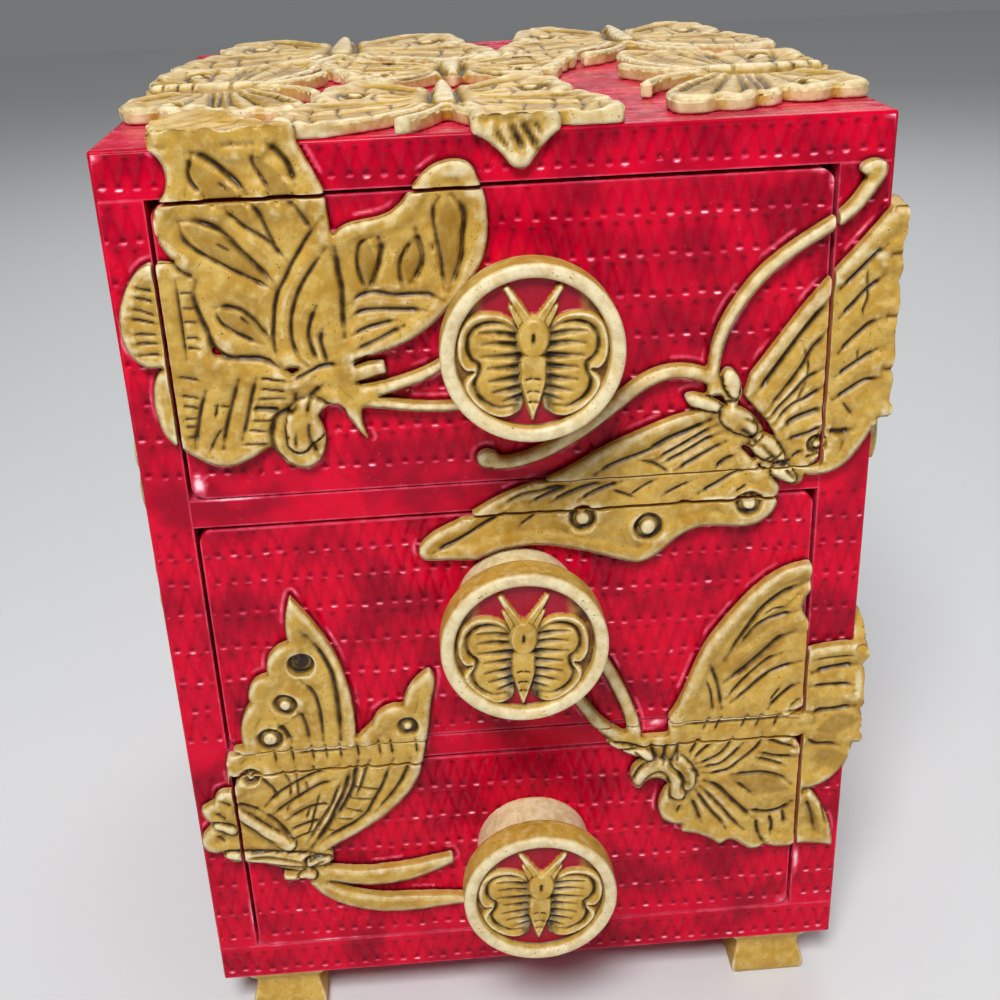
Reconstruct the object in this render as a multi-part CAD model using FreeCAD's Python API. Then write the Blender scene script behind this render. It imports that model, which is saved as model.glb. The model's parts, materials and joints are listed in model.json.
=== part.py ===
# Jewelry drawer box: a lacquered case on four feet, with three inset drawers of falling height, disc
# knobs, and carved butterflies that run across the drawers, the rails and the edges of the case.
# Millimetres. X to the right, Y from front to back, Z up. The origin is on the surface that the box
# stands on, below the middle of its overall size.
import FreeCAD, Part
import math
import os

# Case
case_width = 100.0
case_depth = 100.0
left_side_thick = 6.0
right_side_thick = 7.1
top_thick = 6.2
bottom_thick = 6.2
upper_shelf_thick = 4.05
lower_shelf_thick = 3.55
back_thick = 5.0
housing_depth = 1.6
housing_stop = 8.0
case_edge_round = 0.5
top_opening_height = 40.9
middle_opening_height = 36.9
bottom_opening_height = 34.75

# Feet
foot_width = 12.0
foot_height = 8.5
foot_depth = 8.0
foot_setback = 0.4
foot_inset = 4.0
foot_lip = 0.8
foot_cove_depth = 0.9
foot_cove_drop = 2.9
foot_belly_inset = 0.1
foot_belly_height = 2.55
foot_toe_inset = 0.4

# Drawers
side_gap = 0.6
top_gap = 0.6
bottom_gap = 0.3
back_gap = 1.0
front_thick = 7.0
front_corner_round = 1.8
drawer_side_thick = 3.4
drawer_back_thick = 3.4
drawer_side_drop = 3.0
lap_depth = 3.4
drawer_bottom_thick = 2.0
drawer_bottom_lift = 2.2
groove_depth = 1.5
lining_thick = 0.9
lining_gap = 0.15

# Knobs: where each one's middle stands across the front and up its drawer front
top_knob_offset = 2.4
middle_knob_offset = 0.1
bottom_knob_offset = 1.1
top_knob_height = 22.2
middle_knob_drop = 15.1
bottom_knob_height = 16.8
middle_knob_height = middle_opening_height - middle_knob_drop
knob_neck_radius = 8.7
knob_neck_length = 8.8
knob_head_radius = 11.4
knob_head_thick = 4.9
knob_rim_width = 1.7
knob_rim_round = 0.75
knob_rim_dish = 0.4
knob_recess = 1.5
knob_wing_gap = 0.25
knob_wing_drop = 0.5
knob_body_rise = 0.3
knob_rib_width = 0.7
knob_rib_depth = 0.5
knob_tenon_radius = 3.0
knob_tenon_length = 5.0
knob_tenon_clearance = 0.08

# Carving
relief_height = 2.2
top_relief_height = 2.6
well_depth = 0.8
eye_ring_width = 0.75
knob_clearance = 0.3

# Derived sizes
tiers = ("top", "middle", "bottom")
opening_heights = {"top": top_opening_height, "middle": middle_opening_height,
                   "bottom": bottom_opening_height}
knob_offset = {"top": top_knob_offset, "middle": middle_knob_offset, "bottom": bottom_knob_offset}
knob_height = {"top": top_knob_height, "middle": middle_knob_height, "bottom": bottom_knob_height}
case_height = (bottom_thick + bottom_opening_height + lower_shelf_thick + middle_opening_height
               + upper_shelf_thick + top_opening_height + top_thick)
knob_length = knob_neck_length + knob_head_thick
overall_depth = case_depth + knob_length
front_y = -overall_depth / 2 + knob_length
back_y = front_y + case_depth
left_x = -case_width / 2
right_x = case_width / 2
inner_left = left_x + left_side_thick
inner_right = right_x - right_side_thick
case_z = foot_height
lid_z = case_z + case_height
opening_floor = {}
opening_floor["bottom"] = case_z + bottom_thick
opening_floor["middle"] = opening_floor["bottom"] + bottom_opening_height + lower_shelf_thick
opening_floor["top"] = opening_floor["middle"] + middle_opening_height + upper_shelf_thick
drawer_left = inner_left + side_gap
drawer_right = inner_right - side_gap
drawer_back_y = back_y - back_thick - back_gap
cutter_reach = 2 * max(relief_height, top_relief_height)

# The carving was drawn against these edges, and moves with them: the case's sides and its openings across
# the front, the case's underside, shelves and top up the front, and the case's depth
drawn_x = (-50.0, -44.0, 42.9, 50.0)
drawn_z = (0.0, 6.2, 40.95, 44.5, 81.4, 85.45, 126.35, 132.55)
drawn_depth = 100.0

# Grooves between the ribs of a knob's wing, each from tip to tip on a disc of unit radius
knob_ribs = [(0.20, 0.33, 0.66, 0.38), (0.20, 0.14, 0.72, 0.16), (0.20, -0.03, 0.66, -0.06),
             (0.20, -0.26, 0.58, -0.42), (0.20, -0.46, 0.52, -0.64)]

parts = {}


def box(x0, y0, z0, x1, y1, z1):
    return Part.makeBox(x1 - x0, y1 - y0, z1 - z0, FreeCAD.Vector(x0, y0, z0))


def joined(shapes):
    body = shapes[0]
    if len(shapes) > 1:
        body = body.fuse(shapes[1:])
    return body.removeSplitter()


def edges_along(shape, axis, places, tolerance=0.01):
    # Straight edges parallel to an axis, whose middles have the given values of the other axes
    found = []
    for edge in shape.Edges:
        run = edge.Vertexes[-1].Point - edge.Vertexes[0].Point
        if run.Length < tolerance or abs(abs(getattr(run, axis)) - run.Length) > tolerance:
            continue
        middle = edge.CenterOfMass
        if all(min(abs(getattr(middle, a) - v) for v in values) < tolerance for a, values in places.items()):
            found.append(edge)
    return found


# Case: a top and a bottom slab over two sides, shelves let into the sides, and a back between them
def make_top_panel():
    slab = box(left_x, front_y, lid_z - top_thick, right_x, back_y, lid_z)
    rim = edges_along(slab, "x", {"z": [lid_z]}) + edges_along(slab, "y", {"z": [lid_z]})
    corners = edges_along(slab, "z", {"x": [left_x, right_x]})
    return slab.makeFillet(case_edge_round, rim + corners)


def make_bottom_panel():
    slab = box(left_x, front_y, case_z, right_x, back_y, case_z + bottom_thick)
    return slab.makeFillet(case_edge_round, edges_along(slab, "z", {"x": [left_x, right_x]}))


def shelf_z(tier):
    # Underside and top of the shelf below a drawer
    thick = {"top": upper_shelf_thick, "middle": lower_shelf_thick}[tier]
    return opening_floor[tier] - thick, opening_floor[tier]


def make_side(outer_x, inner_x):
    low, high = sorted((outer_x, inner_x))
    panel = box(low, front_y, case_z + bottom_thick, high, back_y, lid_z - top_thick)
    panel = panel.makeFillet(case_edge_round, edges_along(panel, "z", {"x": [outer_x]}))
    inward = 1 if inner_x > outer_x else -1
    for tier in ("top", "middle"):
        under, over = shelf_z(tier)
        near, far = sorted((inner_x - inward * housing_depth, inner_x))
        panel = panel.cut(box(near, front_y + housing_stop, under, far, back_y, over))
    return panel


def make_shelf(tier):
    under, over = shelf_z(tier)
    board = box(inner_left, front_y, under, inner_right, back_y - back_thick, over)
    tongue = box(inner_left - housing_depth, front_y + housing_stop, under,
                 inner_right + housing_depth, back_y - back_thick, over)
    return joined([board, tongue])


def make_back_panel():
    return box(inner_left, back_y - back_thick, case_z + bottom_thick, inner_right, back_y, lid_z - top_thick)


def make_foot(side_x, side_y):
    # Block foot: a cove below a thin lip swells to a belly and turns in to the toe, alike on all four faces
    def profile(along, half):
        points = [(half, foot_height), (half, foot_height - foot_lip),
                  (half - foot_cove_depth, foot_height - foot_cove_drop),
                  (half - foot_belly_inset, foot_belly_height), (half - foot_toe_inset, 0)]

        def at(u, z):
            return FreeCAD.Vector(u, 0, z) if along == "y" else FreeCAD.Vector(0, u, z)
        right = [at(u, z) for u, z in points]
        left = [at(-u, z) for u, z in reversed(points)]
        spline_right = Part.BSplineCurve()
        spline_right.interpolate(right[1:])
        spline_left = Part.BSplineCurve()
        spline_left.interpolate(left[:-1])
        edges = [Part.LineSegment(right[0], right[1]).toShape(), spline_right.toShape(),
                 Part.LineSegment(right[-1], left[0]).toShape(), spline_left.toShape(),
                 Part.LineSegment(left[-2], left[-1]).toShape(), Part.LineSegment(left[-1],
                     right[0]).toShape()]
        face = Part.Face(Part.Wire(edges))
        away = FreeCAD.Vector(0, foot_width, 0) if along == "y" else FreeCAD.Vector(foot_width, 0, 0)
        face.translate(away * -0.5)
        return face.extrude(away)

    foot = profile("y", foot_width / 2).common(profile("x", foot_depth / 2))
    x = side_x * (case_width / 2 - foot_inset - foot_width / 2)
    y = {-1: front_y + foot_setback + foot_depth / 2, 1: back_y - foot_setback - foot_depth / 2}[side_y]
    foot.translate(FreeCAD.Vector(x, y, 0))
    return foot


parts["top_panel"] = make_top_panel()
parts["bottom_panel"] = make_bottom_panel()
parts["left_side_panel"] = make_side(left_x, inner_left)
parts["right_side_panel"] = make_side(right_x, inner_right)
parts["upper_shelf"] = make_shelf("top")
parts["lower_shelf"] = make_shelf("middle")
parts["back_panel"] = make_back_panel()
for name, side_x, side_y in (("front_left", -1, -1), ("front_right", 1, -1), ("back_left", -1, 1),
                             ("back_right", 1, 1)):
    parts[name + "_foot"] = make_foot(side_x, side_y)


# Drawers: sides lapped into the front, a back between the sides, a bottom in grooves and a felt lining
def drawer_z(tier):
    return opening_floor[tier] + bottom_gap, opening_floor[tier] + opening_heights[tier] - top_gap


def knob_place(tier):
    return knob_offset[tier], drawer_z(tier)[0] + knob_height[tier]


def front_outline(tier, grow=0.0):
    # The drawer front's rounded rectangle, extruded from its back face to the face of the case
    low, high = drawer_z(tier)
    slab = box(drawer_left, front_y - grow, low, drawer_right, front_y + front_thick, high)
    corners = edges_along(slab, "y", {"x": [drawer_left, drawer_right], "z": [low, high]})
    return slab.makeFillet(front_corner_round, corners)


def side_x_range(hand):
    if hand == "left":
        return drawer_left, drawer_left + drawer_side_thick
    return drawer_right - drawer_side_thick, drawer_right


def floor_slot(tier):
    low = drawer_z(tier)[0] + drawer_bottom_lift
    return low, low + drawer_bottom_thick


def make_drawer_front(tier):
    low, high = drawer_z(tier)
    front = front_outline(tier)
    for hand in ("left", "right"):
        x0, x1 = side_x_range(hand)
        lap = box(x0, front_y + front_thick - lap_depth, low, x1, front_y + front_thick,
                  high - drawer_side_drop)
        front = front.cut(lap)
    slot_low, slot_high = floor_slot(tier)
    front = front.cut(box(side_x_range("left")[1], front_y + front_thick - groove_depth, slot_low,
                          side_x_range("right")[0], front_y + front_thick, slot_high))
    x, z = knob_place(tier)
    bore = Part.makeCylinder(knob_tenon_radius + knob_tenon_clearance, knob_tenon_length,
                             FreeCAD.Vector(x, front_y, z), FreeCAD.Vector(0, 1, 0))
    return front.cut(bore)


def make_drawer_side(tier, hand):
    low, high = drawer_z(tier)
    x0, x1 = side_x_range(hand)
    board = box(x0, front_y + front_thick - lap_depth, low, x1, drawer_back_y, high - drawer_side_drop)
    slot_low, slot_high = floor_slot(tier)
    near, far = (x1 - groove_depth, x1) if hand == "left" else (x0, x0 + groove_depth)
    return board.cut(box(near, front_y + front_thick - lap_depth, slot_low, far, drawer_back_y, slot_high))


def make_drawer_back(tier):
    high = drawer_z(tier)[1]
    return box(side_x_range("left")[1], drawer_back_y - drawer_back_thick, floor_slot(tier)[1],
               side_x_range("right")[0], drawer_back_y, high - drawer_side_drop)


def make_drawer_bottom(tier):
    slot_low, slot_high = floor_slot(tier)
    x0 = side_x_range("left")[1]
    x1 = side_x_range("right")[0]
    tray = box(x0 - groove_depth, front_y + front_thick, slot_low, x1 + groove_depth, drawer_back_y,
               slot_high)
    lip = box(x0, front_y + front_thick - groove_depth, slot_low, x1, front_y + front_thick, slot_high)
    return joined([tray, lip])


def make_drawer_lining(tier):
    over = floor_slot(tier)[1]
    return box(side_x_range("left")[1] + lining_gap, front_y + front_thick + lining_gap, over,
               side_x_range("right")[0] - lining_gap, drawer_back_y - drawer_back_thick - lining_gap,
               over + lining_thick)


# Outlines on a flat: each stretch starts where the last one ended. Two points make a line, three an arc,
# more a smooth curve. A place turns the two numbers of a point into a point in space.
def curve(points):
    if len(points) == 2:
        return Part.LineSegment(points[0], points[1]).toShape()
    if len(points) == 3:
        return Part.Arc(points[0], points[1], points[2]).toShape()
    spline = Part.BSplineCurve()
    spline.interpolate(points)
    return spline.toShape()


def outline(place, stretches):
    start = place(*stretches[-1][-1])
    edges = []
    for stretch in stretches:
        points = [start] + [place(*point) for point in stretch]
        edges.append(curve(points))
        start = points[-1]
    return Part.Face(Part.Wire(edges))


def oval(x, z, long_radius, short_radius, angle=0.0):
    # Stretches of an ellipse as two smooth halves
    turn = math.radians(angle)
    points = []
    for step in range(1, 13):
        a = 2 * math.pi * step / 12
        u = long_radius * math.cos(a)
        v = short_radius * math.sin(a)
        points.append((x + u * math.cos(turn) - v * math.sin(turn),
                       z + u * math.sin(turn) + v * math.cos(turn)))
    return [points[0:6], points[6:12]]


def stroke(points):
    # Stretches of a band that follows a line of (x, z, width), such as a feeler
    left = []
    right = []
    for index, (x, z, width) in enumerate(points):
        before = points[max(index - 1, 0)]
        after = points[min(index + 1, len(points) - 1)]
        dx = after[0] - before[0]
        dz = after[1] - before[1]
        run = math.hypot(dx, dz)
        left.append((x - dz / run * width / 2, z + dx / run * width / 2))
        right.append((x + dz / run * width / 2, z - dx / run * width / 2))
    return [left[1:], [right[-1]], right[-2::-1], [left[0]]]


def leaf(x0, z0, x1, z1, width):
    # Stretches of a pointed oval between two tips
    run = math.hypot(x1 - x0, z1 - z0)
    out = (-(z1 - z0) / run * width / 2, (x1 - x0) / run * width / 2)
    middle = ((x0 + x1) / 2, (z0 + z1) / 2)
    return [[(middle[0] + out[0], middle[1] + out[1]), (x1, z1)],
            [(middle[0] - out[0], middle[1] - out[1]), (x0, z0)]]


# Knob: a turned stub with a tenon, and a disc glued to its end, with a small butterfly carved in its
# dished face
def turned(stretches):
    # Turns a profile of (radius, distance out from the drawer front) round the knob's axis
    def at(radius, out):
        return FreeCAD.Vector(radius, -out, 0)
    return outline(at, stretches).revolve(FreeCAD.Vector(0, 0, 0), FreeCAD.Vector(0, 1, 0), 360)


def knob_stem():
    return turned([[(0, -knob_tenon_length)], [(knob_tenon_radius, -knob_tenon_length)],
                   [(knob_tenon_radius, 0)],
                   [(knob_neck_radius, 0)], [(knob_neck_radius, knob_neck_length)], [(0, knob_neck_length)]])


def knob_disc():
    rim_inner = knob_head_radius - knob_rim_width
    bend = knob_rim_round * (1 - math.sqrt(0.5))
    low = knob_neck_length
    high = knob_length
    return turned([[(0, low)], [(knob_head_radius - knob_rim_round, low)],
                   [(knob_head_radius - bend, low + bend), (knob_head_radius, low + knob_rim_round)],
                   [(knob_head_radius, high - knob_rim_round)],
                   [(knob_head_radius - bend, high - bend), (knob_head_radius - knob_rim_round, high)],
                   [(rim_inner, high - knob_rim_dish)], [(rim_inner, high - knob_recess)],
                   [(0, high - knob_recess)]])


def knob_butterfly():
    # Drawn on a disc of unit radius inside the rim, and scaled to it
    reach = knob_head_radius - knob_rim_width - knob_wing_gap
    ground = -(knob_length - knob_recess)
    height = knob_recess - knob_wing_drop

    def at(u, v):
        return FreeCAD.Vector(u * reach, ground, v * reach)

    def mirrored(stretches):
        return [[(-u, v) for u, v in stretch] for stretch in stretches]
    upper = [[(-0.35, 0.58), (-0.72, 0.52), (-0.93, 0.18), (-0.90, -0.14), (-0.70, -0.26), (-0.40, -0.20),
              (-0.10, -0.06)],
             [(-0.08, 0.46)]]
    lower = [[(-0.40, -0.22), (-0.74, -0.30), (-0.82, -0.48), (-0.60, -0.80), (-0.28, -0.93), (-0.10, -0.84)],
             [(-0.10, -0.10)]]
    feeler = stroke([(-0.04, 0.40, 0.10), (-0.17, 0.64, 0.12), (-0.33, 0.90, 0.09)])
    ribs = []
    for side in (-1, 1):
        for u0, v0, u1, v1 in knob_ribs:
            rib = outline(at, leaf(side * u0, v0, side * u1, v1, knob_rib_width / reach))
            rib.translate(FreeCAD.Vector(0, -height + knob_rib_depth, 0))
            ribs.append(rib.extrude(FreeCAD.Vector(0, -knob_recess, 0)))
    pieces = []
    for wing in (upper, lower, mirrored(upper), mirrored(lower)):
        pieces.append(outline(at, wing).extrude(FreeCAD.Vector(0, -height, 0)).cut(ribs))
    for shape in (feeler, mirrored(feeler), oval(0, 0.18, 0.30, 0.19, 90), leaf(0, 0.02, 0, -0.98, 0.32)):
        pieces.append(outline(at, shape).extrude(FreeCAD.Vector(0, -height - knob_body_rise, 0)))
    return joined(pieces)


def on_knob_axis(shape, tier):
    x, z = knob_place(tier)
    copy = shape.copy()
    copy.translate(FreeCAD.Vector(x, front_y, z))
    return copy


stem = knob_stem()
disc = joined([knob_disc(), knob_butterfly()])
for tier in tiers:
    drawer = "drawer_" + tier
    parts[drawer + "_front"] = make_drawer_front(tier)
    parts[drawer + "_left_side"] = make_drawer_side(tier, "left")
    parts[drawer + "_right_side"] = make_drawer_side(tier, "right")
    parts[drawer + "_back"] = make_drawer_back(tier)
    parts[drawer + "_bottom"] = make_drawer_bottom(tier)
    parts[drawer + "_lining"] = make_drawer_lining(tier)
    parts[drawer + "_knob_stem"] = on_knob_axis(stem, tier)
    parts[drawer + "_knob"] = on_knob_axis(disc, tier)


def follow(value, drawn, made):
    # Where a drawn number lies now, between the edges that it was drawn between
    last = len(drawn) - 2
    for index in range(last + 1):
        if value <= drawn[index + 1] or index == last:
            share = (value - drawn[index]) / (drawn[index + 1] - drawn[index])
            return made[index] + share * (made[index + 1] - made[index])


def across(x):
    return follow(x, drawn_x, (left_x, inner_left, inner_right, right_x))


def up(z):
    edges = [case_z]
    for tier in reversed(tiers):
        edges += [opening_floor[tier], opening_floor[tier] + opening_heights[tier]]
    return follow(z, drawn_z, edges + [lid_z])


def back(y):
    return front_y + y * case_depth / drawn_depth


# Carving on the front: X from the middle of the case and Z from its underside, as drawn
def on_front(x, z):
    return FreeCAD.Vector(across(x), front_y, up(z))


# Carving on the top: X from the middle of the case and Y from its front, as drawn
def on_top(x, y):
    return FreeCAD.Vector(across(x), back(y), lid_z)


# Carving on a side: Y from the front of the case and Z from its underside, as drawn
def on_side(side):
    def at(y, z):
        return FreeCAD.Vector(side * case_width / 2, back(y), up(z))
    return at


out_front = FreeCAD.Vector(0, -1, 0)
out_top = FreeCAD.Vector(0, 0, 1)


def out_side(side):
    return FreeCAD.Vector(side, 0, 0)


def carved(place, out, height, shapes, wells=(), eyes=()):
    # Raised shapes on one face, with wells sunk into them and round eyes with a standing centre
    body = joined([outline(place, stretches).extrude(out * height) for stretches in shapes])
    return sunk_into(body, place, out, height, wells, eyes)


def sunk_into(body, place, out, height, wells, eyes):
    sunk = [outline(place, stretches) for stretches in wells]
    for x, z, radius in eyes:
        ring = Part.Face(Part.Wire([Part.makeCircle(radius, place(x, z), out)]))
        sunk.append(ring.cut(Part.Face(Part.Wire([Part.makeCircle(radius - eye_ring_width, place(x, z),
            out)]))))
    for floor in sunk:
        floor.translate(out * (height - well_depth))
    return body.cut([floor.extrude(out * height) for floor in sunk]) if sunk else body


def front_shapes(shapes, wells=(), eyes=()):
    return carved(on_front, out_front, relief_height, shapes, wells, eyes)


# Upper left butterfly: over the edge of the top, across the top drawer and onto the left side's edge
upper_left_shapes = [
    # Pair of wings at the left, folded together
    [[(-41.0, 131.2), (-40.6, 129.4), (-41.2, 127.2)], [(-42.7, 124.8), (-42.6, 121.6), (-41.2, 119.0),
                                                        (-38.9, 116.6)],
     [(-39.6, 113.4), (-38.9, 109.6), (-37.0, 106.6), (-34.0, 105.4), (-30.0, 104.2)], [(-21.2, 104.0)],
     [(-21.5, 121.0)], [(-21.8, 126.6)], [(-24.6, 132.55)], [(-42.3, 132.55)]],
    # Ribbed edge of the wing behind
    [[(-41.0, 118.4), (-44.8, 118.6), (-47.6, 115.6), (-49.0, 110.8), (-48.4, 107.4), (-46.2, 105.2)],
     [(-38.0, 105.6)], [(-38.5, 116.6)]],
    # Lower wing
    [[(-31.0, 105.0), (-34.6, 105.5), (-38.2, 106.2), (-42.4, 105.3), (-45.0, 104.5), (-46.0, 102.2),
      (-46.0, 98.0),
      (-45.0, 95.2), (-42.8, 93.2), (-40.4, 91.6), (-38.0, 90.9), (-35.2, 91.6), (-31.6, 93.6)],
     [(-28.2, 97.0)], [(-28.4, 103.2)]],
    [[(-31.0, 91.7), (-28.8, 90.1), (-26.6, 90.3), (-25.1, 91.9), (-24.6, 94.2), (-25.3, 96.8)],
     [(-26.4, 99.6)], [(-29.4, 98.2), (-31.4, 95.4), (-31.9, 93.4)]],
    # Body with its curled head
    [[(-28.7, 100.6), (-28.1, 102.8), (-26.0, 104.2), (-23.0, 104.6), (-20.4, 104.0)], [(-19.2, 99.0)],
     [(-19.6, 96.6), (-18.8, 93.4)], [(-20.2, 95.2), (-21.5, 97.4)],
     [(-22.2, 98.4), (-23.4, 98.8), (-24.7, 98.2), (-25.3, 96.6)], [(-28.4, 97.6)]],
    # Right wing
    [[(-21.3, 121.0)], [(-19.6, 122.2), (-16.6, 122.8), (-13.8, 123.6), (-12.0, 125.2), (-10.6, 127.0),
                        (-8.8, 128.7),
      (-6.6, 129.5), (-4.4, 129.3), (-3.0, 127.4)],
     [(-2.1, 125.0), (-1.9, 121.6), (-2.2, 118.8), (-3.2, 116.2), (-5.0, 113.8), (-8.0, 110.4),
      (-11.6, 107.5),
      (-15.0, 106.0), (-18.4, 104.9), (-21.3, 103.6)]],
]
upper_left_feelers = [
    stroke([(-21.4, 101.8, 1.9), (-18.8, 102.9, 2.1), (-16.0, 103.4, 1.6)]),
    stroke([(-21.6, 100.2, 1.6), (-17.4, 100.4, 1.6), (-14.0, 101.2, 1.5), (-11.0, 102.2, 1.4),
            (-8.0, 103.8, 1.3)]),
    stroke([(-19.8, 98.9, 1.3), (-16.4, 98.4, 1.3), (-13.0, 97.8, 1.2), (-9.6, 97.5, 1.2),
            (-5.6, 97.5, 1.1)]),
]
upper_left_wells = [
    leaf(-38.2, 131.4, -30.6, 122.4, 3.4), leaf(-29.9, 131.6, -25.6, 124.2, 2.8), leaf(-39.9, 123.9, -29.2,
        115.0, 3.4),
    leaf(-36.9, 112.7, -30.8, 107.2, 2.8), leaf(-17.0, 120.7, -18.0, 113.9, 2.8), leaf(-10.9, 120.4, -12.2,
        114.0, 2.4),
    leaf(-6.6, 125.5, -7.4, 113.2, 3.8),
]

# Upper right butterfly: round the corner of the case, across the top drawer, the shelf and the middle drawer
upper_right_shapes = [
    # Wings at the right
    [[(32.4, 99.3)], [(36.0, 104.2), (39.6, 109.0), (43.6, 113.6), (46.8, 117.2), (50.0, 121.0)],
     [(50.0, 92.2)],
     [(49.2, 90.4), (47.8, 88.0), (45.6, 85.4), (43.0, 84.3), (40.6, 84.3), (38.6, 86.0)], [(34.8, 92.6)],
     [(31.6, 96.4)]],
    # Wing at the left
    [[(24.0, 94.3), (18.0, 92.3), (12.0, 89.7), (6.4, 86.7), (1.0, 84.8), (-3.6, 82.8), (-8.0, 80.3),
      (-12.2, 78.0),
      (-13.4, 76.2), (-12.4, 74.8)], [(-9.0, 74.7), (-5.6, 74.4)],
     [(0.0, 76.1), (5.0, 76.0), (9.0, 75.0), (14.0, 73.3), (17.6, 72.5), (20.2, 73.7), (22.8, 76.0),
      (26.0, 77.3),
      (30.0, 77.2), (33.2, 77.1), (35.8, 78.6), (36.8, 81.4)], [(37.0, 82.8)], [(33.6, 86.4),
          (30.2, 90.4), (28.2, 94.4)]],
    oval(31.5, 92.0, 3.9, 2.0, -45), oval(36.4, 86.9, 5.2, 2.0, -47), oval(29.7, 97.8, 2.6, 1.4, 100),
    oval(26.4, 95.5, 3.1, 1.1, -24),
]
upper_right_feelers = [
    stroke([(27.4, 96.8, 1.5), (27.4, 101.4, 1.4), (28.4, 105.6, 1.5), (30.6, 109.6, 1.5), (33.6, 113.2, 1.6),
            (37.4, 116.2, 1.6), (41.0, 118.4, 1.6), (44.2, 120.6, 1.6), (46.2, 123.0, 1.7),
            (47.9, 125.8, 1.8)]),
    oval(46.9, 125.9, 1.7, 1.0, 8),
    stroke([(28.0, 98.4, 1.7), (24.4, 100.2, 1.8), (21.0, 100.3, 1.8), (18.0, 99.2, 1.8), (14.8, 96.8, 1.8),
            (11.6, 94.3, 1.8), (8.0, 91.9, 1.8), (4.4, 90.1, 1.7), (1.0, 89.0, 1.6), (-2.6, 88.9, 1.6)]),
    oval(-3.2, 89.5, 1.5, 1.2),
]
upper_right_eyes = [(9.5, 79.8, 1.9), (18.7, 77.8, 2.1), (32.8, 80.5, 1.9), (41.8, 88.8, 1.5)]
upper_right_side = [
    [[(6.4, 120.2), (9.8, 114.8)], [(14.2, 111.2), (11.8, 106.6)], [(15.8, 102.8), (11.8, 98.8)],
     [(13.0, 94.6), (10.4, 90.0)], [(8.6, 84.6), (5.4, 83.4)], [(3.0, 84.8), (2.7, 88.0), (2.4, 91.2)],
     [(0.0, 92.2)], [(0.0, 121.0)]],
]

# Lower left butterfly: across the middle drawer, the lower shelf, the bottom drawer and the left side's edge
lower_left_shapes = [
    [[(-24.6, 50.0), (-25.4, 56.4), (-27.2, 62.2), (-29.4, 66.4), (-32.0, 70.3)], [(-32.9, 66.8),
        (-32.8, 62.9)],
     [(-35.2, 61.8), (-36.2, 57.8)], [(-38.6, 56.8), (-39.3, 53.4)], [(-41.0, 50.2), (-41.1, 45.8)],
     [(-43.6, 45.4)],
     [(-44.2, 41.6), (-44.0, 37.8)], [(-45.6, 37.9), (-46.8, 36.2)], [(-48.9, 35.0)], [(-48.4, 33.4),
         (-47.4, 32.2)],
     [(-49.2, 30.2)], [(-49.5, 28.4), (-46.4, 27.2)], [(-34.6, 25.6)], [(-31.0, 25.6)],
     [(-27.6, 27.7), (-24.0, 29.8), (-20.4, 32.6), (-17.4, 35.9), (-15.6, 39.2), (-14.9, 42.3)],
     [(-14.1, 45.6)],
     [(-13.6, 49.0), (-13.0, 52.6), (-12.5, 55.2), (-13.2, 56.8)], [(-15.8, 54.6), (-17.4, 50.9)],
     [(-20.2, 50.6), (-22.0, 48.4)], [(-24.8, 45.6)]],
    [[(-46.0, 27.6), (-43.0, 28.3), (-38.0, 27.8), (-34.0, 26.4), (-30.4, 25.4)],
     [(-30.0, 24.2), (-31.2, 22.9), (-34.0, 22.2), (-37.0, 22.8), (-41.0, 24.1), (-44.4, 24.7),
      (-46.6, 26.0)]],
    oval(-33.7, 21.7, 1.5, 1.2),
]
lower_left_feelers = [
    stroke([(-33.6, 21.4, 2.0), (-30.0, 20.8, 2.5), (-26.0, 20.0, 2.8), (-22.0, 19.9, 3.0),
            (-18.0, 20.4, 2.7),
            (-14.6, 21.3, 2.1), (-11.5, 22.3, 1.2)]),
    stroke([(-33.4, 20.4, 1.8), (-30.6, 17.4, 2.4), (-27.0, 15.5, 2.8), (-23.0, 14.4, 2.9),
            (-18.0, 14.1, 2.8),
            (-14.0, 14.1, 2.2), (-8.6, 13.8, 1.2)]),
    stroke([(-34.4, 22.0, 1.2), (-36.2, 21.0, 1.1), (-38.0, 21.2, 0.9)]),
]
lower_left_eyes = [(-31.5, 59.3, 2.0), (-34.4, 52.7, 1.8), (-37.2, 46.9, 2.0), (-16.9, 47.4, 1.6),
                   (-40.8, 40.6, 1.5)]

# Lower right butterfly: across the middle drawer, the lower shelf and the bottom drawer and round the corner
lower_right_shapes = [
    [[(24.0, 49.0), (25.6, 53.4), (27.6, 58.0), (30.4, 62.0), (34.0, 66.2), (38.0, 69.2), (42.9, 70.3)],
     [(42.9, 66.0)],
     [(41.4, 64.0), (42.0, 61.6)], [(42.8, 58.6), (42.5, 55.6)], [(46.4, 56.3), (50.0, 56.3)], [(50.0, 38.8)],
     [(49.4, 35.0), (46.6, 31.8), (43.2, 30.8)], [(42.9, 20.1)], [(40.2, 19.8), (37.6, 20.4)],
     [(35.0, 20.1), (32.8, 21.8), (30.6, 21.1)], [(28.0, 23.0), (24.4, 24.2)], [(24.6, 25.8)],
     [(22.4, 26.2), (20.8, 28.4)], [(21.2, 31.0), (22.4, 33.0)], [(20.4, 34.9), (17.8, 33.0)],
     [(16.4, 35.2), (19.0, 38.0)],
     [(15.6, 39.8), (12.6, 42.3)], [(22.2, 42.3)], [(22.2, 45.6)]],
    [[(43.2, 29.3)], [(44.6, 30.1)], [(47.4, 25.2), (48.6, 19.2)], [(46.0, 19.9), (42.9, 20.1)]],
]
lower_right_feelers = [
    stroke([(10.8, 58.8, 1.6), (13.3, 54.2, 1.7), (14.9, 50.6, 1.8), (16.0, 47.6, 1.8), (16.7, 45.0, 2.0),
            (16.9, 42.6, 2.0)]),
    stroke([(7.4, 52.6, 1.6), (8.8, 49.6, 1.6), (10.2, 47.4, 1.7), (11.6, 45.4, 1.8), (13.2, 43.9, 1.8),
            (15.4, 42.4, 1.6)]),
]
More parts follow.
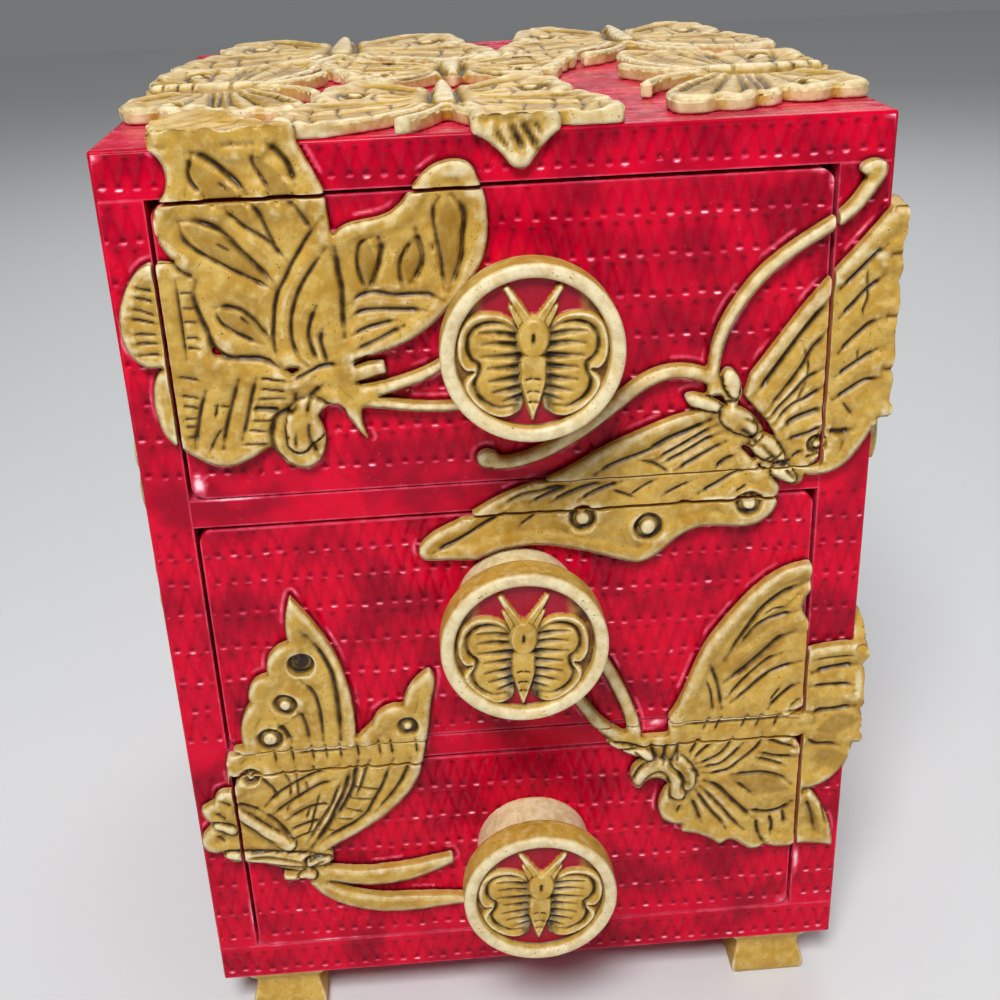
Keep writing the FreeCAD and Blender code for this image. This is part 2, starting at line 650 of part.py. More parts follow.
lower_right_wells = [leaf(31.2, 33.9, 41.6, 30.6, 4.2), leaf(29.6, 50.4, 41.4, 60.4, 2.6), leaf(31.0, 55.4,
    41.4, 66.0, 1.8)]
lower_right_side = [
    [[(5.0, 59.4), (9.0, 56.0)], [(13.4, 54.6), (13.6, 48.4)], [(16.8, 45.4), (14.0, 40.4)],
     [(15.6, 35.4), (11.0, 31.4)],
     [(7.0, 28.4), (4.0, 30.6)], [(0.0, 38.8)], [(0.0, 56.3)]],
]


# A whole butterfly drawn with its head up and a half span of 20, then turned, sized and set in place
generic_shapes = [
    [[(0.8, 3.4)], [(5.0, 7.4), (10.5, 10.8), (16.0, 12.6), (19.4, 12.2)], [(20.0, 10.0), (18.6, 7.6)],
     [(19.4, 5.4), (17.4, 3.4)], [(17.6, 1.6), (15.0, 0.4)], [(8.0, -0.6), (0.8, -0.5)]],
    [[(7.0, 1.0), (14.0, 0.2)], [(16.2, -2.6), (14.6, -5.6)], [(15.2, -8.2), (12.4, -9.8)],
     [(11.8, -12.8), (8.8, -13.0)],
     [(5.0, -9.6), (0.8, -5.5)], [(0.8, 0.5)]],
    stroke([(0.4, 5.0, 0.9), (2.6, 9.4, 1.0), (6.2, 12.6, 1.1), (8.4, 13.4, 1.5)]),
]
generic_body = [oval(0, 1.0, 3.4, 1.7, 90), oval(0, -5.0, 4.6, 1.4, 90), oval(0, 5.0, 1.5, 1.3)]
generic_wells = [leaf(6.4, 4.8, 15.6, 10.2, 2.6), leaf(7.6, 1.2, 15.2, 3.6, 1.9), leaf(3.4, -1.8, 7.0,
    -9.0, 2.2)]
generic_eyes = [(11.0, -4.6, 1.9)]
generic_half_span = 20.0


def flipped(shapes):
    return [[[(-u, v) for u, v in stretch] for stretch in stretches] for stretches in shapes]


def generic_plan():
    # The whole butterfly's outline on the plane Z = 0, as wires
    def flat(u, v):
        return FreeCAD.Vector(u, v, 0)
    shapes = generic_shapes + flipped(generic_shapes) + generic_body
    body = joined([outline(flat, stretches).extrude(FreeCAD.Vector(0, 0, 1)) for stretches in shapes])
    floor = min(body.Faces, key=lambda face: face.CenterOfMass.z)
    return floor.Wires


def butterfly(place, out, height, middle, heading, half_span, length=1.0):
    turn = math.radians(heading - 90)
    size = half_span / generic_half_span
    origin = place(*middle)
    across_wings = (place(middle[0] + math.cos(turn), middle[1] + math.sin(turn)) - origin) * size
    along_body = (place(middle[0] - math.sin(turn), middle[1] + math.cos(turn)) - origin) * size * length

    def at(u, v):
        return origin + across_wings * u + along_body * v
    rows = []
    for axis in ("x", "y", "z"):
        rows += [getattr(vector, axis) for vector in (across_wings, along_body, out, origin)]
    set_down = FreeCAD.Matrix(*rows, 0, 0, 0, 1)
    body = Part.Face([wire.transformGeometry(set_down) for wire in butterfly_wires]).extrude(out * height)
    wells = generic_wells + flipped(generic_wells)
    eyes = [(side * u, v, radius * size * min(length, 1.0)) for side in (-1, 1) for u, v,
            radius in generic_eyes]
    return sunk_into(body, at, out, height, wells, eyes)


butterfly_wires = generic_plan()


def within_case_top(shape):
    # Keeps carving on the top inside the edges of the case
    return shape.common(box(left_x, front_y, lid_z, right_x, back_y, lid_z + cutter_reach))


# Cut at the drawers: what lies on a drawer front moves with it, and the rest stays with the case
def opening_prism(tier):
    floor = opening_floor[tier]
    return box(inner_left, front_y - cutter_reach, floor, inner_right, front_y, floor + opening_heights[tier])


def knob_hole(tier):
    x, z = knob_place(tier)
    return Part.makeCylinder(knob_neck_radius + knob_clearance, cutter_reach,
                             FreeCAD.Vector(x, front_y - cutter_reach, z), FreeCAD.Vector(0, 1, 0))


def on_drawer(shape, tier):
    return shape.common(front_outline(tier, cutter_reach)).cut(knob_hole(tier))


def on_case(shape):
    return shape.cut([opening_prism(tier) for tier in tiers])


# Carving that turns a corner of the case: a face drawn from that edge, and the bar that fills the corner
def all_points(shapes):
    return [point for stretches in shapes for stretch in stretches for point in stretch]


def side_wrap(side, shapes):
    place = on_side(side)
    heights = [place(y, z).z for y, z in all_points(shapes) if y == 0]
    x0, x1 = sorted((side * case_width / 2, side * (case_width / 2 + relief_height)))
    corner = box(x0, front_y - relief_height, min(heights), x1, front_y, max(heights))
    return [carved(place, out_side(side), relief_height, shapes), corner]


def top_wrap(shapes):
    places = [on_top(x, y).x for x, y in all_points(shapes) if y == 0]
    corner = box(min(places), front_y - relief_height, lid_z, max(places), front_y, lid_z + top_relief_height)
    return [carved(on_top, out_top, top_relief_height, shapes), corner]


upper_left = front_shapes(upper_left_shapes + upper_left_feelers, upper_left_wells)
upper_right = front_shapes(upper_right_shapes + upper_right_feelers, (), upper_right_eyes)
lower_left = front_shapes(lower_left_shapes + lower_left_feelers, (), lower_left_eyes)
lower_right = front_shapes(lower_right_shapes + lower_right_feelers, lower_right_wells)

upper_left_lobe = [[[(-43.0, 5.0), (-42.2, 9.6), (-40.2, 13.2)],
                    [(-37.0, 14.0), (-33.6, 11.6), (-31.2, 7.4), (-28.4, 3.6), (-24.6, 0.0)], [(-42.3, 0.0)]]]
front_flap = [[[(-0.8, 131.0), (1.2, 128.6)], [(2.4, 128.0), (3.6, 128.4)], [(5.2, 130.6), (7.6, 132.55)],
               [(-3.4, 132.55)]]]
front_flap_root = [[[(-3.4, 6.0)], [(7.6, 6.0)], [(7.6, 0.0)], [(-3.4, 0.0)]]]

upper_left_over = top_wrap(upper_left_lobe)
parts["upper_left_butterfly_case"] = joined([on_case(upper_left)] + upper_left_over)
parts["upper_left_butterfly_drawer_top"] = on_drawer(upper_left, "top")
parts["upper_right_butterfly_case"] = joined([on_case(upper_right)] + side_wrap(1, upper_right_side))
parts["upper_right_butterfly_drawer_top"] = on_drawer(upper_right, "top")
parts["upper_right_butterfly_drawer_middle"] = on_drawer(upper_right, "middle")
parts["lower_left_butterfly_case"] = on_case(lower_left)
parts["lower_left_butterfly_drawer_middle"] = on_drawer(lower_left, "middle")
parts["lower_left_butterfly_drawer_bottom"] = on_drawer(lower_left, "bottom")
parts["lower_right_butterfly_case"] = joined([on_case(lower_right)] + side_wrap(1, lower_right_side))
parts["lower_right_butterfly_drawer_middle"] = on_drawer(lower_right, "middle")
parts["lower_right_butterfly_drawer_bottom"] = on_drawer(lower_right, "bottom")

# Where two wings on the top meet, the later one ends at the earlier one
top_places = [("top_front", (-6.0, 17.5), -90, 22.0, 1.3), ("top_left", (-38.5, 38.0), 0, 26.0, 0.85),
              ("top_right", (38.0, 30.0), 180, 26.0, 0.95), ("top_middle", (-4.0, 49.0), 90, 21.0, 1.0),
              ("top_back_left", (-22.0, 80.0), -90, 27.0, 1.3),
              ("top_back_right", (27.0, 79.0), -90, 23.0, 1.5)]
laid = list(upper_left_over)
for name, middle, heading, half_span, length in top_places:
    shape = within_case_top(butterfly(on_top, out_top, top_relief_height, middle, heading, half_span, length))
    shape = shape.cut(laid)
    laid.append(shape)
    if name == "top_front":
        shape = joined([shape, front_shapes(front_flap)] + top_wrap(front_flap_root))
    parts[name + "_butterfly"] = shape
for name, side, middle, heading, half_span in (
        ("left_side_upper", -1, (58.0, 106.0), 95, 24.0), ("left_side_middle", -1, (27.5, 72.0), 76, 25.0),
        ("left_side_lower", -1, (66.0, 34.0), 70, 26.0), ("right_side_upper", 1, (46.0, 96.0), 100, 25.0),
        ("right_side_middle", 1, (80.0, 71.0), 160, 17.0), ("right_side_lower", 1, (46.0, 36.0), 110, 24.0)):
    parts[name + "_butterfly"] = butterfly(on_side(side), out_side(side), relief_height, middle, heading,
                                           half_span)

os.makedirs("parts", exist_ok=True)
for name, shape in parts.items():
    shape.exportStep("parts/" + name + ".step")
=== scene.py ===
import bpy
import bmesh
import json
import math
import numpy as np
from mathutils import Matrix, Vector, kdtree


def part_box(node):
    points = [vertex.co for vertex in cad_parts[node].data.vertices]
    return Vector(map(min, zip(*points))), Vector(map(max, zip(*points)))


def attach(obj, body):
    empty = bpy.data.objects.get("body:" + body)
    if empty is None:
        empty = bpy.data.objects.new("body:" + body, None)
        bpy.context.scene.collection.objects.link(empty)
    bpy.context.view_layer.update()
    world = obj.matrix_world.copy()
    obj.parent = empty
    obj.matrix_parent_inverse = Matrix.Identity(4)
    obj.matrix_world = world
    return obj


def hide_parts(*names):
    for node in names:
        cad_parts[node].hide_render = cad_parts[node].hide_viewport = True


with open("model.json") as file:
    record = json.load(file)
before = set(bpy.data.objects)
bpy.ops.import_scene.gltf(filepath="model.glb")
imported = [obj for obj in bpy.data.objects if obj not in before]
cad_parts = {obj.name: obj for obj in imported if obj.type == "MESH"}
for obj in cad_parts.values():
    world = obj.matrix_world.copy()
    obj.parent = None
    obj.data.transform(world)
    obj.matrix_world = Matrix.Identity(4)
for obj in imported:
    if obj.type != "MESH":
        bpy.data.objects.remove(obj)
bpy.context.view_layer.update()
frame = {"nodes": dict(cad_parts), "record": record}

# Jewelry drawer box in red lacquer, carved over with ochre butterflies
nodes = frame["nodes"]
bodyOf = {node: body for body, names in frame["record"]["behaviour"]["bodies"].items() for node in names}
mm = 0.001
underside = 8.5            # height of the case's underside in millimetres, where the drawing's heights start
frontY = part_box("top_panel")[0].y
sideX, backY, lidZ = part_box("top_panel")[1]
print("frame loaded:", len(nodes), "nodes")


# Camera, floor and studio light
cameraSettings = {"place": (-10.18, -208.67, 168.64), "lens": 47.65, "pitch": 0.437065, "yaw": -0.050928,
                  "roll": -0.042942}  # place in millimetres, turns in radians
lightSettings = {
    "key": {"place": (-0.10, -0.46, 0.62), "size": 0.22, "power": 5.0},
    "fill": {"place": (0.45, -0.50, 0.25), "size": 0.5, "power": 0.3},
    "back": {"place": (0.10, 0.50, 0.55), "size": 0.5, "power": 1.6},
    "overhead": {"place": (0.0, 0.90, 2.20), "size": 4.0, "power": 14.0},
}
lightAim = (0, 0, 0.07)    # the middle of the box, in metres as the lights' places are
worldSettings = {"colour": "#E6E8EA", "strength": 0.09, "backdrop": "#747678"}
floorSettings = {"half": 1.5, "colour": "#DCDEE0", "roughness": 0.7}


def linear(hexCode):
    values = [int(hexCode[i:i + 2], 16) / 255 for i in (1, 3, 5)]
    return [v / 12.92 if v <= 0.04045 else ((v + 0.055) / 1.055) ** 2.4 for v in values] + [1.0]


def addNode(tree, kind, settings=None, **inputs):
    node = tree.nodes.new(kind)
    for name, value in (settings or {}).items():
        setattr(node, name, value)
    for name, value in inputs.items():
        key = int(name[1:]) if name[0] == "i" and name[1:].isdigit() else name.replace("_", " ")
        socket = node.inputs[key]
        if isinstance(value, bpy.types.NodeSocket):
            tree.links.new(value, socket)
        else:
            socket.default_value = value
    return node


def makeCamera():
    data = bpy.data.cameras.new("camera")
    data.sensor_width = 36.0
    data.lens = cameraSettings["lens"]
    data.clip_start = 0.01
    data.clip_end = 10.0
    camera = bpy.data.objects.new("camera", data)
    pitch, yaw, roll = [cameraSettings[name] for name in ("pitch", "yaw", "roll")]
    turn = (Matrix.Rotation(roll, 3, "Z") @ Matrix.Rotation(pitch, 3, "X") @ Matrix.Rotation(yaw, 3, "Y")
            @ Matrix.Rotation(math.pi / 2, 3, "X")).transposed() @ Matrix.Diagonal((1, -1, -1))
    camera.matrix_world = Matrix.Translation([v * mm for v in cameraSettings["place"]]) @ turn.to_4x4()
    bpy.context.scene.collection.objects.link(camera)
    bpy.context.scene.camera = camera


def makeLights():
    for name, light in lightSettings.items():
        data = bpy.data.lights.new(name, "AREA")
        data.size = light["size"]
        data.energy = light["power"]
        lamp = bpy.data.objects.new(name, data)
        lamp.location = light["place"]
        lamp.rotation_euler = (Vector(lightAim) - lamp.location).to_track_quat("-Z", "Y").to_euler()
        bpy.context.scene.collection.objects.link(lamp)
    world = bpy.data.worlds.new("studio")
    world.use_nodes = True
    tree = world.node_tree
    dim = tree.nodes["Background"]
    dim.inputs["Color"].default_value = linear(worldSettings["colour"])
    dim.inputs["Strength"].default_value = worldSettings["strength"]
    backdrop = addNode(tree, "ShaderNodeBackground", None, Color=linear(worldSettings["backdrop"]))
    seen = addNode(tree, "ShaderNodeLightPath").outputs["Is Camera Ray"]  # the backdrop lights nothing
    both = addNode(tree, "ShaderNodeMixShader", None, i0=seen, i1=dim.outputs[0], i2=backdrop.outputs[0])
    tree.links.new(both.outputs[0], tree.nodes["World Output"].inputs["Surface"])
    bpy.context.scene.world = world


def makeFloor():
    form = bmesh.new()
    bmesh.ops.create_grid(form, x_segments=1, y_segments=1, size=floorSettings["half"])
    mesh = bpy.data.meshes.new("floor")
    form.to_mesh(mesh)
    form.free()
    floor = bpy.data.objects.new("floor", mesh)
    bpy.context.scene.collection.objects.link(floor)
    paint = bpy.data.materials.new("matt pale board")
    paint.use_nodes = True
    shader = paint.node_tree.nodes["Principled BSDF"]
    shader.inputs["Base Color"].default_value = linear(floorSettings["colour"])
    shader.inputs["Roughness"].default_value = floorSettings["roughness"]
    mesh.materials.append(paint)


makeCamera()
makeLights()
makeFloor()
bpy.context.scene.view_settings.view_transform = "Standard"
print("camera, light and floor set")


# Materials
def startMaterial(name):
    material = bpy.data.materials.new(name)
    material.use_nodes = True
    tree = material.node_tree
    coords = addNode(tree, "ShaderNodeTexCoord").outputs["Object"]
    return material, tree, coords, tree.nodes["Principled BSDF"]


def noise(tree, coords, size, detail=3.0, roughness=0.55):
    # size is the width of a blotch in millimetres
    node = addNode(tree, "ShaderNodeTexNoise", None, Vector=coords, Scale=1.0 / (size * mm), Detail=detail,
                   Roughness=roughness)
    return node.outputs["Fac"]


def stretch(tree, value, low, high, start=0.0, end=1.0):
    node = addNode(tree, "ShaderNodeMapRange", {"clamp": True}, Value=value)
    for name, number in (("From Min", low), ("From Max", high), ("To Min", start), ("To Max", end)):
        node.inputs[name].default_value = number
    return node.outputs["Result"]


def maths(tree, operation, a, b):
    return addNode(tree, "ShaderNodeMath", {"operation": operation, "use_clamp": True}, i0=a, i1=b).outputs[0]


def mixed(tree, share, a, b):
    node = addNode(tree, "ShaderNodeMix", {"data_type": "RGBA"}, i0=share)
    for index, value in ((6, a), (7, b)):
        if isinstance(value, str):
            node.inputs[index].default_value = linear(value)
        else:
            tree.links.new(value, node.inputs[index])
    return node.outputs[2]


def attribute(tree, name):
    return addNode(tree, "ShaderNodeAttribute", {"attribute_name": name}).outputs["Fac"]


redColours = {"bright": "#D4002C", "deep": "#9C0022", "pit": "#480012",
              "rubAndSheen": "#E6506F", "wearAndSheen": "#F4D6DC"}


def lacquerRed():
    # Red lacquer on carved wood: a thick brushed gloss coat with painted shade in the cuts, rubbed pale at
    # the edges and worn spots, with painted highlights on the cup lips and a painted sheen across the top
    material, tree, coords, shader = startMaterial("red lacquer on carved wood")
    blotch = noise(tree, coords, 9.0)
    grit = noise(tree, coords, 0.35, 2.0)
    patch = noise(tree, coords, 2.2)
    colour = mixed(tree, stretch(tree, blotch, 0.38, 0.58), redColours["deep"], redColours["bright"])
    # painted shade: the cut mark darkens the grooves, cups and pits, and the crease at the reliefs' feet
    colour = mixed(tree, attribute(tree, "cut"), colour, redColours["pit"])
    scuff = maths(tree, "MULTIPLY", stretch(tree, grit, 0.69, 0.74), stretch(tree, patch, 0.46, 0.6))
    colour = mixed(tree, scuff, colour, redColours["rubAndSheen"])
    # this mark holds real wear together with painted highlights and sheen, so the pale pinks stand for both
    rubSheenShare = maths(tree, "MULTIPLY", attribute(tree, "wearAndSheen"), stretch(tree, patch, 0.3, 0.62, 0.6, 1.2))
    colour = mixed(tree, stretch(tree, rubSheenShare, 0.15, 0.55), colour, redColours["rubAndSheen"])
    colour = mixed(tree, stretch(tree, rubSheenShare, 0.5, 0.85), colour, redColours["wearAndSheen"])
    tree.links.new(colour, shader.inputs["Base Color"])
    tree.links.new(stretch(tree, patch, 0.3, 0.7, 0.16, 0.34), shader.inputs["Roughness"])
    shader.inputs["Specular IOR Level"].default_value = 0.14
    bump = addNode(tree, "ShaderNodeBump", None, Height=noise(tree, coords, 0.9, 4.0), Strength=0.25,
                   Distance=0.12 * mm)
    tree.links.new(bump.outputs["Normal"], shader.inputs["Normal"])
    return material


ochreColours = {"amber": "#77520E", "dark": "#AD832B", "mid": "#C9A146",
                "light": "#D8BF76", "wearAndSheen": "#F2E8C4", "wash": "#2A1A0A"}


def ochreCarving():
    # Painted carving: ochre paint, an umber wash left in the cuts with painted shade in the creases, painted
    # shade in the hollows, rubbed to a cream undercoat on the ridges, and a painted sheen on the top's
    # carvings
    material, tree, coords, shader = startMaterial("ochre paint with umber wash on carved wood")
    blotch = noise(tree, coords, 5.0, 4.0)
    patch = noise(tree, coords, 1.4, 4.0)
    grit = noise(tree, coords, 0.3, 2.0)
    colour = mixed(tree, stretch(tree, blotch, 0.36, 0.64), ochreColours["dark"], ochreColours["mid"])
    colour = mixed(tree, stretch(tree, patch, 0.45, 0.75, 0.0, 0.6), colour, ochreColours["light"])
    # painted shade: the broad hollows and the wells go amber
    colour = mixed(tree, attribute(tree, "hollowShade"), colour, ochreColours["amber"])
    rubSheenShare = maths(tree, "MULTIPLY", attribute(tree, "wearAndSheen"), stretch(tree, patch, 0.3, 0.7, 0.7, 1.1))
    colour = mixed(tree, stretch(tree, rubSheenShare, 0.4, 1.25), colour, ochreColours["wearAndSheen"])
    # the cut mark holds the umber wash and painted shade in the creases and around the bodies
    wash = maths(tree, "MULTIPLY", attribute(tree, "cut"), stretch(tree, patch, 0.25, 0.6, 1.2, 0.7))
    colour = mixed(tree, stretch(tree, wash, 0.15, 0.8), colour, ochreColours["wash"])
    speck = maths(tree, "MULTIPLY", stretch(tree, grit, 0.66, 0.71), stretch(tree, blotch, 0.4, 0.55))
    colour = mixed(tree, speck, colour, ochreColours["wash"])
    colour = mixed(tree, attribute(tree, "red"), colour, redColours["deep"])  # the sunk ground of the knobs
    tree.links.new(colour, shader.inputs["Base Color"])
    tree.links.new(stretch(tree, patch, 0.3, 0.7, 0.34, 0.5), shader.inputs["Roughness"])
    shader.inputs["Specular IOR Level"].default_value = 0.35
    bump = addNode(tree, "ShaderNodeBump", None, Height=patch, Strength=0.3, Distance=0.15 * mm)
    tree.links.new(bump.outputs["Normal"], shader.inputs["Normal"])
    return material


def blackWood():
    # Black-stained pine inside the drawers: thin stain over a straight grain that runs front to back
    material, tree, coords, shader = startMaterial("black stained pine")
    along = addNode(tree, "ShaderNodeMapping", None, Vector=coords, Scale=(1.0, 0.08, 1.0)).outputs[0]
    grain = noise(tree, along, 0.8, 4.0)
    colour = mixed(tree, stretch(tree, grain, 0.35, 0.65), "#120C0B", "#2A1D19")
    tree.links.new(colour, shader.inputs["Base Color"])
    shader.inputs["Roughness"].default_value = 0.5
    bump = addNode(tree, "ShaderNodeBump", None, Height=grain, Strength=0.3, Distance=0.1 * mm)
    tree.links.new(bump.outputs["Normal"], shader.inputs["Normal"])
    return material


def darkRedFelt():
    # Wool felt lining: matted fibres about 0.1 mm thick, drawn three times as coarse so that they show
    material, tree, coords, shader = startMaterial("dark red wool felt")
    fibre = noise(tree, coords, 0.3, 5.0, 0.7)
    colour = mixed(tree, stretch(tree, fibre, 0.35, 0.65), "#45040F", "#7A0C20")
    tree.links.new(colour, shader.inputs["Base Color"])
    shader.inputs["Roughness"].default_value = 0.95
    shader.inputs["Sheen Weight"].default_value = 0.4
    bump = addNode(tree, "ShaderNodeBump", None, Height=fibre, Strength=0.6, Distance=0.2 * mm)
    tree.links.new(bump.outputs["Normal"], shader.inputs["Normal"])
    return material


slotMaterial = {"red_lacquer": lacquerRed(), "ochre_carving": ochreCarving(), "black_wood": blackWood(),
                "lining_felt": darkRedFelt()}
slotOf = {part["node"]: part["material_slot"] for part in frame["record"]["subparts"]}
for name, node in nodes.items():
    for place in node.material_slots:
        place.material = slotMaterial[slotOf[name]]
print("materials made")


# Finer forms that stand in for CAD nodes
def copyOf(node):
    form = bmesh.new()
    form.from_mesh(nodes[node].data)
    bmesh.ops.remove_doubles(form, verts=form.verts, dist=0.002 * mm)
    return form


def relaxed(form, steps):
    for step in range(steps):
        bmesh.ops.smooth_vert(form, verts=form.verts, factor=0.5, use_axis_x=True, use_axis_y=True,
                              use_axis_z=True)
    return form


def finish(form, node):
    mesh = bpy.data.meshes.new(node + "_carved")
    form.to_mesh(mesh)
    form.free()
    piece = bpy.data.objects.new(node + "_carved", mesh)
    bpy.context.scene.collection.objects.link(piece)
    mesh.materials.append(slotMaterial[slotOf[node]])
    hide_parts(node)
    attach(piece, bodyOf[node])
    return piece


def readArray(items, name, width):
    values = np.zeros(len(items) * width, np.float32 if width == 3 else np.int32)
    items.foreach_get(name, values)
    return values.reshape(-1, width).astype(np.float64 if width == 3 else np.int64)


def writeMark(mesh, name, values):
    layer = mesh.attributes.new(name, "FLOAT", "POINT")
    layer.data.foreach_set("value", np.clip(values, 0, 1).astype(np.float32))


def standing(mesh, steps):
    # How far each point stands out of its surroundings, in millimetres
    mesh.update()
    points = readArray(mesh.vertices, "co", 3)
    normals = readArray(mesh.vertices, "normal", 3)
    ends = readArray(mesh.edges, "vertices", 2)
    count = np.maximum(np.bincount(ends.ravel(), minlength=len(points)), 1)[:, None]
    smooth = points
    for step in range(steps):
        total = np.zeros_like(points)
        for axis in range(3):
            total[:, axis] += np.bincount(ends[:, 0], smooth[ends[:, 1], axis], len(points))
            total[:, axis] += np.bincount(ends[:, 1], smooth[ends[:, 0], axis], len(points))
        smooth = total / count
    return ((points - smooth) * normals).sum(1) / mm


def smoothLine(points, steps=5):
    # Catmull-Rom curve through points
    points = np.array(points, float)
    if len(points) == 2:
        return points
    padded = np.vstack([2 * points[0] - points[1], points, 2 * points[-1] - points[-2]])
    line = []
    for i in range(len(points) - 1):
        a, b, c, d = padded[i:i + 4]
        for t in np.linspace(0, 1, steps, endpoint=False):
            line.append(b + 0.5 * t * (c - a + t * (2 * a - 5 * b + 4 * c - d + t * (3 * b - a - 3 * c + d))))
    return np.vstack(line + [points[-1]])


def distanceTo(flat, line, reach):
    # The points near a line, their distance from it, and how far along it they lie
    near = np.where(((flat > line.min(0) - reach) & (flat < line.max(0) + reach)).all(1))[0]
    spot = flat[near]
    found = np.full(len(near), 1e9)
    share = np.zeros(len(near))
    lengths = np.r_[0, np.cumsum(np.hypot(*np.diff(line, axis=0).T))]
    for i in range(len(line) - 1):
        run = line[i + 1] - line[i]
        t = np.clip((spot - line[i]) @ run / max(run @ run, 1e-12), 0, 1)
        gap = np.hypot(*(spot - line[i] - t[:, None] * run).T)
        closer = gap < found
        found[closer] = gap[closer]
        share[closer] = (lengths[i] + t[closer] * (lengths[i + 1] - lengths[i])) / lengths[-1]
    return near, found, share


def cutLines(flat, depth, mark, lines, width, deep, bank=0.25, reach=1.3):
    # A tapering groove along each line, between banks that slope down to it
    for points in lines:
        near, gap, along = distanceTo(flat, smoothLine(points), 2 * reach * width)
        taper = np.clip(np.minimum(along, 1 - along) * 6, 0.45, 1)
        groove = taper * np.exp(-(gap / (0.5 * width)) ** 2)
        slope = bank * taper * np.exp(-(gap / (reach * width)) ** 2)
        depth[near] = np.maximum(depth[near], deep * (groove + slope))
        mark[near] = np.maximum(mark[near], groove)


def inside(flat, outline):
    # Which points lie inside a closed outline
    held = np.zeros(len(flat), bool)
    x, y = flat.T
    for (x0, y0), (x1, y1) in zip(outline, np.roll(outline, -1, 0)):
        crosses = (y0 > y) != (y1 > y)
        with np.errstate(divide="ignore", invalid="ignore"):
            held ^= crosses & (x < (x1 - x0) * (y - y0) / (y1 - y0) + x0)
    return held


def ramp(value, low, high):
    t = np.clip((value - low) / (high - low), 0, 1)
    return t * t * (3 - 2 * t)


# Chiselled lacquer: rows of zigzag cuts, each bottom turn a small cup with a raised lip; the cuts get painted
# shade and each lip a painted highlight
chiselCuts = {"pitch": 2.15, "width": 0.25, "deep": 0.2, "jitter": 0.14, "cup": 0.42,
              "frontStep": 0.26, "otherStep": 0.62}  # millimetres; the steps are the mesh's
frontRows = ([(128.2, 3.3)] + [(z, 3.9) for z in (121.7, 116.4, 111.0, 105.4, 100.2, 94.9, 89.6)]
             + [(77.2, 3.2), (73.0, 3.4), (68.1, 4.0), (62.3, 4.3), (57.0, 4.0), (52.0, 3.8), (46.8, 3.9)]
             + [(35.4, 3.9), (30.0, 3.9), (24.8, 3.9), (19.4, 3.9), (13.4, 4.2), (8.7, 3.5), (1.6, 3.2)])
plainRows = [(z, 3.9) for z in np.arange(3.0, 130.0, 5.35)]
rubbedSpots = [  # where the front's lacquer has worn to the pale ground: x, z, half width, half height
    (40.4, 125.9, 1.9, 0.5), (42.0, 124.6, 0.3, 1.4), (-42.4, 87.7, 0.9, 1.7), (-38.5, 85.4, 5.0, 0.25),
    (-49.8, 131.9, 1.2, 0.8), (49.6, 132.2, 1.4, 0.7), (-40.9, 6.4, 2.0, 0.5), (-31.0, 6.5, 6.0, 0.3),
    (-43.9, 13.0, 0.5, 4.0), (43.4, 15.4, 0.5, 2.6), (42.0, 7.4, 1.3, 0.8), (20.5, 44.0, 1.6, 0.8),
    (-49.9, 62.0, 0.35, 60.0), (46.5, 132.4, 6.0, 0.3), (-20.0, 132.4, 9.0, 0.25), (49.9, 40.0, 0.2, 40.0),
]
topStreaks = {"pitch": 0.85, "deep": 0.05, "rubAndSheen": 0.26}  # fine brush ridges across the top; the last value is the least painted sheen over the whole top
lacquerMarkings = {  # strength and reach in millimetres: worn edges, painted shade in the crease at the reliefs' feet, a patchy pale band beside the reliefs, rubbed spots
    "edge": (0.42, 0.25), "crease": (0.85, 0.4), "halo": (0.55, 0.3), "haloGap": 0.7, "spot": 0.85,
}


def chiselled(u, v, rows, seed):
    depth, shade, rubAndSheen = np.zeros(len(u)), np.zeros(len(u)), np.zeros(len(u))
    pitch, width, jitter = chiselCuts["pitch"], chiselCuts["width"], chiselCuts["jitter"]
    for number, (base, tall) in enumerate(rows):
        near = np.where((v > base - 1.2) & (v < base + tall + 1.0))[0]
        if not len(near):
            continue
        x, y = u[near], v[near]
        chance = np.random.RandomState(seed + number)
        count = int(240 / pitch)
        along = (np.arange(count) + chance.rand() * 2) * pitch / 2 - 60
        along = along + chance.uniform(-jitter, jitter, count)
        level = base + (np.arange(count) % 2) * tall + chance.uniform(-0.2, 0.2, count)
        force = chance.uniform(0.55, 1.15, count)
        spot = ((x - along[0]) / (pitch / 2)).astype(int)
        groove = np.zeros(len(near))
        for shift in (-1, 0, 1):
            k = np.clip(spot + shift, 0, count - 2)
            runX, runY = along[k + 1] - along[k], level[k + 1] - level[k]
            t = np.clip(((x - along[k]) * runX + (y - level[k]) * runY) / (runX ** 2 + runY ** 2), 0, 1)
            gap = np.hypot(x - along[k] - t * runX, y - level[k] - t * runY)
            groove = np.maximum(groove, force[k] * np.exp(-(gap / width) ** 2))
        low = np.clip(2 * np.round((x - along[0]) / pitch).astype(int), 0, count - 2)
        dx, dy = x - along[low], y - level[low]
        cup = np.exp(-(dx / chiselCuts["cup"]) ** 2 - ((dy - 0.1) / chiselCuts["cup"]) ** 2)
        lip = np.exp(-(dx / 0.55) ** 4 - ((dy + 0.5 - 0.35 * dx ** 2) / 0.2) ** 2)
        after, before = np.clip(low + 1, 0, count - 1), np.clip(low - 1, 0, count - 1)
        dx = np.minimum(abs(x - along[after]), abs(x - along[before]))
        pit = np.exp(-(dx / 0.4) ** 2 - ((y - level[after]) / 0.28) ** 2)
        hole = np.maximum(1.4 * cup, 1.5 * pit)
        depth[near] = np.maximum(depth[near], chiselCuts["deep"] * (np.maximum(groove, hole) - 0.5 * lip))
        # painted shade in the grooves, cups and pits
        shade[near] = np.maximum(shade[near], np.maximum(0.28 * groove, 0.85 * np.maximum(cup, pit)))
        # painted highlight on each cup's lip
        rubAndSheen[near] = np.maximum(rubAndSheen[near], lip * chance.uniform(0.45, 0.9, count)[low])
    return depth, shade, rubAndSheen


